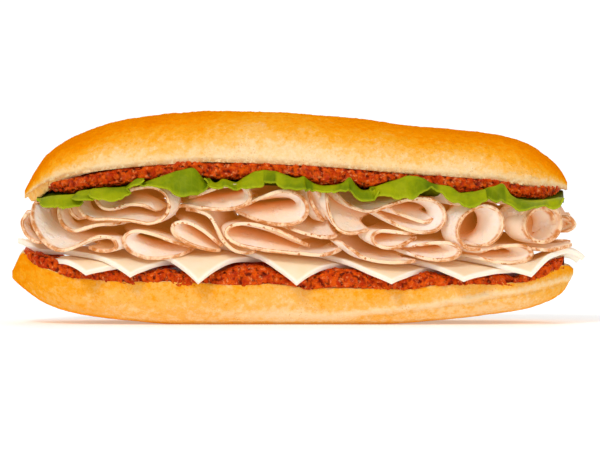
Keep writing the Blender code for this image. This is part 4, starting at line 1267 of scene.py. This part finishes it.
@dataclass
class Lettuce:
    """Leaves under the upper sauce, with ruffled edges that rise and hang outside."""

    leaves: tuple[Leaf, ...] = (
        Leaf("lettuce_1", 1.8, ((-91.4, 45, 43.2, 0), (-88, 46, 42.2, 2), (-83, 46.4, 42.1, 1.6),
                           (-80, 46.6, 43, -0.4), (-78.4, 47.2, 45.4, -2), (-76, 48.2, 45.2, 1),
                           (-73.4, 48.6, 46.8, -1.4), (-71, 48.9, 45.6, 1), (-67, 49.1, 44.8, 2),
                           (-63, 49.3, 46.6, 0.2), (-61.4, 49.6, 48.6, -1.4),
                           (-57.2, 52.4, 50.2, 0.8))),
        Leaf("lettuce_2", 1.2, ((-55.4, 50.8, 49.9, -0.6), (-52, 52, 50.2, 0.6), (-48, 53.4, 49.5, 1.4),
                           (-44.6, 54.6, 47.8, 2), (-42, 55.4, 46.5, 2.4), (-38, 56.2, 46.8, 1.6),
                           (-36.4, 54.9, 46.9, 0.4), (-33.8, 52, 48.8, -1),
                           (-32.2, 50.9, 50.2, -1.8))),
        Leaf("lettuce_3", 0.9, ((-31.4, 52.4, 50.2, -1.6), (-29.6, 50.8, 49.6, 0.4),
                           (-27, 52.2, 49.9, -0.8), (-22.4, 51, 48.9, -0.8),
                           (-18, 53.4, 49.3, 1.6), (-15.4, 54.8, 49.2, 1.8), (-12.6, 55.3, 50.9, -0.9),
                           (-8.4, 55, 51.1, -1.6), (-4.8, 53.8, 49.4, 1.2), (-0.6, 52.4, 48.6, 2),
                           (1.6, 53.2, 48.4, -1), (4, 51.5, 48.6, -1.8), (9, 49.8, 48, 1),
                           (15, 50.4, 48, 1.8), (18.6, 52.7, 47.9, -1.2), (20.8, 50, 46.6, -0.4),
                           (23.6, 48.2, 44.7, 2.2), (26.6, 48.8, 45, 0.6))),
        Leaf("lettuce_4", 0.9, ((27.8, 49.4, 46.2, -1.6), (30, 50.2, 47, 0.6), (36, 52.2, 45.6, 2),
                           (40, 53.4, 45.5, 2), (43.6, 52.8, 47.4, 0), (48, 50.6, 49.2, -2),
                           (51, 50, 48, -0.6), (54.4, 49.6, 45.6, 1), (58, 47.2, 43.6, 2),
                           (62.4, 47.6, 42.7, 2.6), (65, 48.2, 44.2, 0.6), (67, 48.8, 45.7, -2),
                           (70, 49.6, 44.8, -1.2), (73, 50.4, 44.3, -1.6), (76.4, 46.4, 43.2, 0.4),
                           (79.8, 44.8, 41.4, 2.6), (84, 44.4, 42.3, 1.4), (88, 44.6, 42.8, -0.8),
                           (93, 45.2, 41.7, 1.2))))
    rows: int = 72
    thickness: float = 0.6
    hem: float = 14.0
    tuck: float = 2.2
    roof: Line = Line(((-92, 1.8), (-84, 2.4), (-74, 3.6), (-64, 9), (100, 9)))

    def profile(self, x: float, outward: float, crests: Line, edges: Line) -> tuple[float, float]:
        """Return y and z of the leaf at a share outward, from the centre line (0) to its edge (1)."""
        half = LAYOUT.filling_half(x)
        flat = (LAYOUT.top_rim.at(x) + 0.6 - LAYOUT.top_sauce_depth.at(x)
                - LAYOUT.leaf_under_sauce)
        crest = crests.at(x)
        stops_y = Line(((0.0, 0.0), (0.3, half / 3), (0.58, half - 5.5), (0.72, half - 1.4),
                        (1.0, half + 3.4)))
        roof = min(flat + LAYOUT.mound.at(x), crest + self.roof.at(x))
        stops_z = Line(((0.0, roof), (0.3, roof), (0.58, min(flat - 2.2, crest - 0.9)),
                        (0.72, crest), (1.0, edges.at(x))))
        return stops_y.at(outward), stops_z.at(outward)

    def build(self, larder: Larder) -> list[Piece]:
        """Make the leaves."""
        return [self.build_leaf(index, leaf, larder) for index, leaf in enumerate(self.leaves)]

    def build_leaf(self, number: int, leaf: Leaf, larder: Larder) -> Piece:
        """Make one leaf."""
        start = leaf.ruffles[0][0] - self.tuck
        end = leaf.ruffles[-1][0] + self.tuck
        columns = round((end - start) / 0.55)
        crests = Line(tuple((x, crest) for x, crest, _, _ in leaf.ruffles))
        edges = Line(((start, leaf.ruffles[0][1]),)
                     + tuple((x, edge) for x, _, edge, _ in leaf.ruffles)
                     + ((end, leaf.ruffles[-1][1]),))
        waves = Line(tuple((x, forward) for x, _, _, forward in leaf.ruffles))

        def place(column: int, row: int) -> tuple[Point, tuple[float, ...]]:
            """Return a point of the leaf, its distance from the hem and how far it is folded in."""
            x = start + (end - start) * column / columns
            side = 2 * row / self.rows - 1
            y, z = self.profile(x, abs(side), crests, edges)
            hang = max(0.0, (abs(side) - 0.6) / 0.4)
            facing = math.copysign(1, side)
            wave = waves.at(x)
            slope = waves.at(x + 0.6) - waves.at(x - 0.6)
            fringe = wobble(x, 90 * facing, number * 31.0, 2.4, 3)
            y += hang * (wave + 0.3 * fringe - 0.4)
            z += hang ** 2 * 0.8 * fringe + 0.12 * wobble(x, y, z, 2.6, 2)
            x += hang * (0.6 * wobble(x, 33 * facing, number * 7.0, 8, 2) - leaf.slide * slope)
            # fold marks how far the hanging edge is recessed; it steers painted shade in the leaf's material.
            fold = hang * max(0.0, -wave)
            return (x, math.copysign(y, side), z), ((1 - abs(side)) * self.hem, fold)

        grid = Grid(columns, self.rows, place, ("edge", "fold"))
        piece = Piece(leaf.name, grid.mesh(), Food.LETTUCE, larder, (leaf.name,))
        piece.thicken(self.thickness, 0.2)
        return piece


# Stage -----------------------------------------------------------------------------------------------
@dataclass
class Stage:
    """The pale floor, the soft studio lights and the camera."""

    lens: float = 1010.0
    distance: float = 6.018
    elevation: float = 1.6
    aim: Point = (0.0007, -0.036, 0.0360)
    floor_size: float = 3.0
    sky: float = 0.6
    backdrop: float = 1.1
    lamps: tuple[tuple[str, Point, float, float], ...] = (
        ("key light", (-0.6, -1.5, 1.5), 0.6, 17.0),
        ("fill light", (1.3, -1.4, 0.6), 1.2, 5.0),
        ("back light", (0.2, 1.5, 1.3), 1.2, 6.0))

    def build(self, larder: Larder) -> None:
        """Make the stage."""
        self.build_floor(larder)
        self.build_lights()
        self.build_camera()

    def build_floor(self, larder: Larder) -> None:
        """Lay the floor under the sandwich."""
        mesh = bmesh.new()
        bmesh.ops.create_grid(mesh, x_segments=8, y_segments=8, size=self.floor_size / 2)
        data = bpy.data.meshes.new("floor")
        mesh.to_mesh(data)
        mesh.free()
        data.materials.append(larder.get(Food.FLOOR))
        floor = bpy.data.objects.new("floor", data)
        bpy.context.collection.objects.link(floor)

    def build_lights(self) -> None:
        """Hang the lamps and light the room."""
        scene = bpy.context.scene
        scene.view_settings.view_transform = "Standard"
        world = bpy.data.worlds.new("studio")
        scene.world = world
        world.use_nodes = True
        kit = NodeKit(world.node_tree)
        background = world.node_tree.nodes["Background"]
        background.inputs["Color"].default_value = (1, 1, 1, 1)
        seen = kit.add("ShaderNodeLightPath").outputs["Is Camera Ray"]
        glow = kit.add("ShaderNodeMapRange", Value=seen, To_Min=self.sky, To_Max=self.backdrop)
        kit.feed(background.inputs["Strength"], glow.outputs["Result"])
        for name, place, size, power in self.lamps:
            lamp = bpy.data.lights.new(name, "AREA")
            lamp.shape = "DISK"
            lamp.size = size
            lamp.energy = power
            made = bpy.data.objects.new(name, lamp)
            made.location = place
            towards = Vector(self.aim) - Vector(place)
            made.rotation_euler = towards.to_track_quat("-Z", "Y").to_euler()
            bpy.context.collection.objects.link(made)

    def build_camera(self) -> None:
        """Place the camera low in front, level with the filling."""
        lens = bpy.data.cameras.new("camera")
        lens.lens = self.lens
        lens.sensor_width = 36.0
        lens.clip_start = 0.01
        camera = bpy.data.objects.new("camera", lens)
        tilt = math.radians(self.elevation)
        offset = Vector((0, -math.cos(tilt), math.sin(tilt))) * self.distance
        camera.location = Vector(self.aim) + offset
        camera.rotation_euler = (-offset).to_track_quat("-Z", "Y").to_euler()
        bpy.context.collection.objects.link(camera)
        bpy.context.scene.camera = camera


def main() -> None:
    """Build the sandwich and its stage."""
    logging.basicConfig(level=logging.INFO, format="%(name)s: %(message)s")
    larder = Larder()
    BreadHalf(Half.BOTTOM).build(larder)
    SauceLayer(Half.BOTTOM).build(larder)
    CheeseStack().build(larder)
    TurkeyFolds().build(larder)
    Lettuce().build(larder)
    SauceLayer(Half.TOP).build(larder)
    BreadHalf(Half.TOP).build(larder)
    Stage().build(larder)


if __name__ == "__main__":
    main()
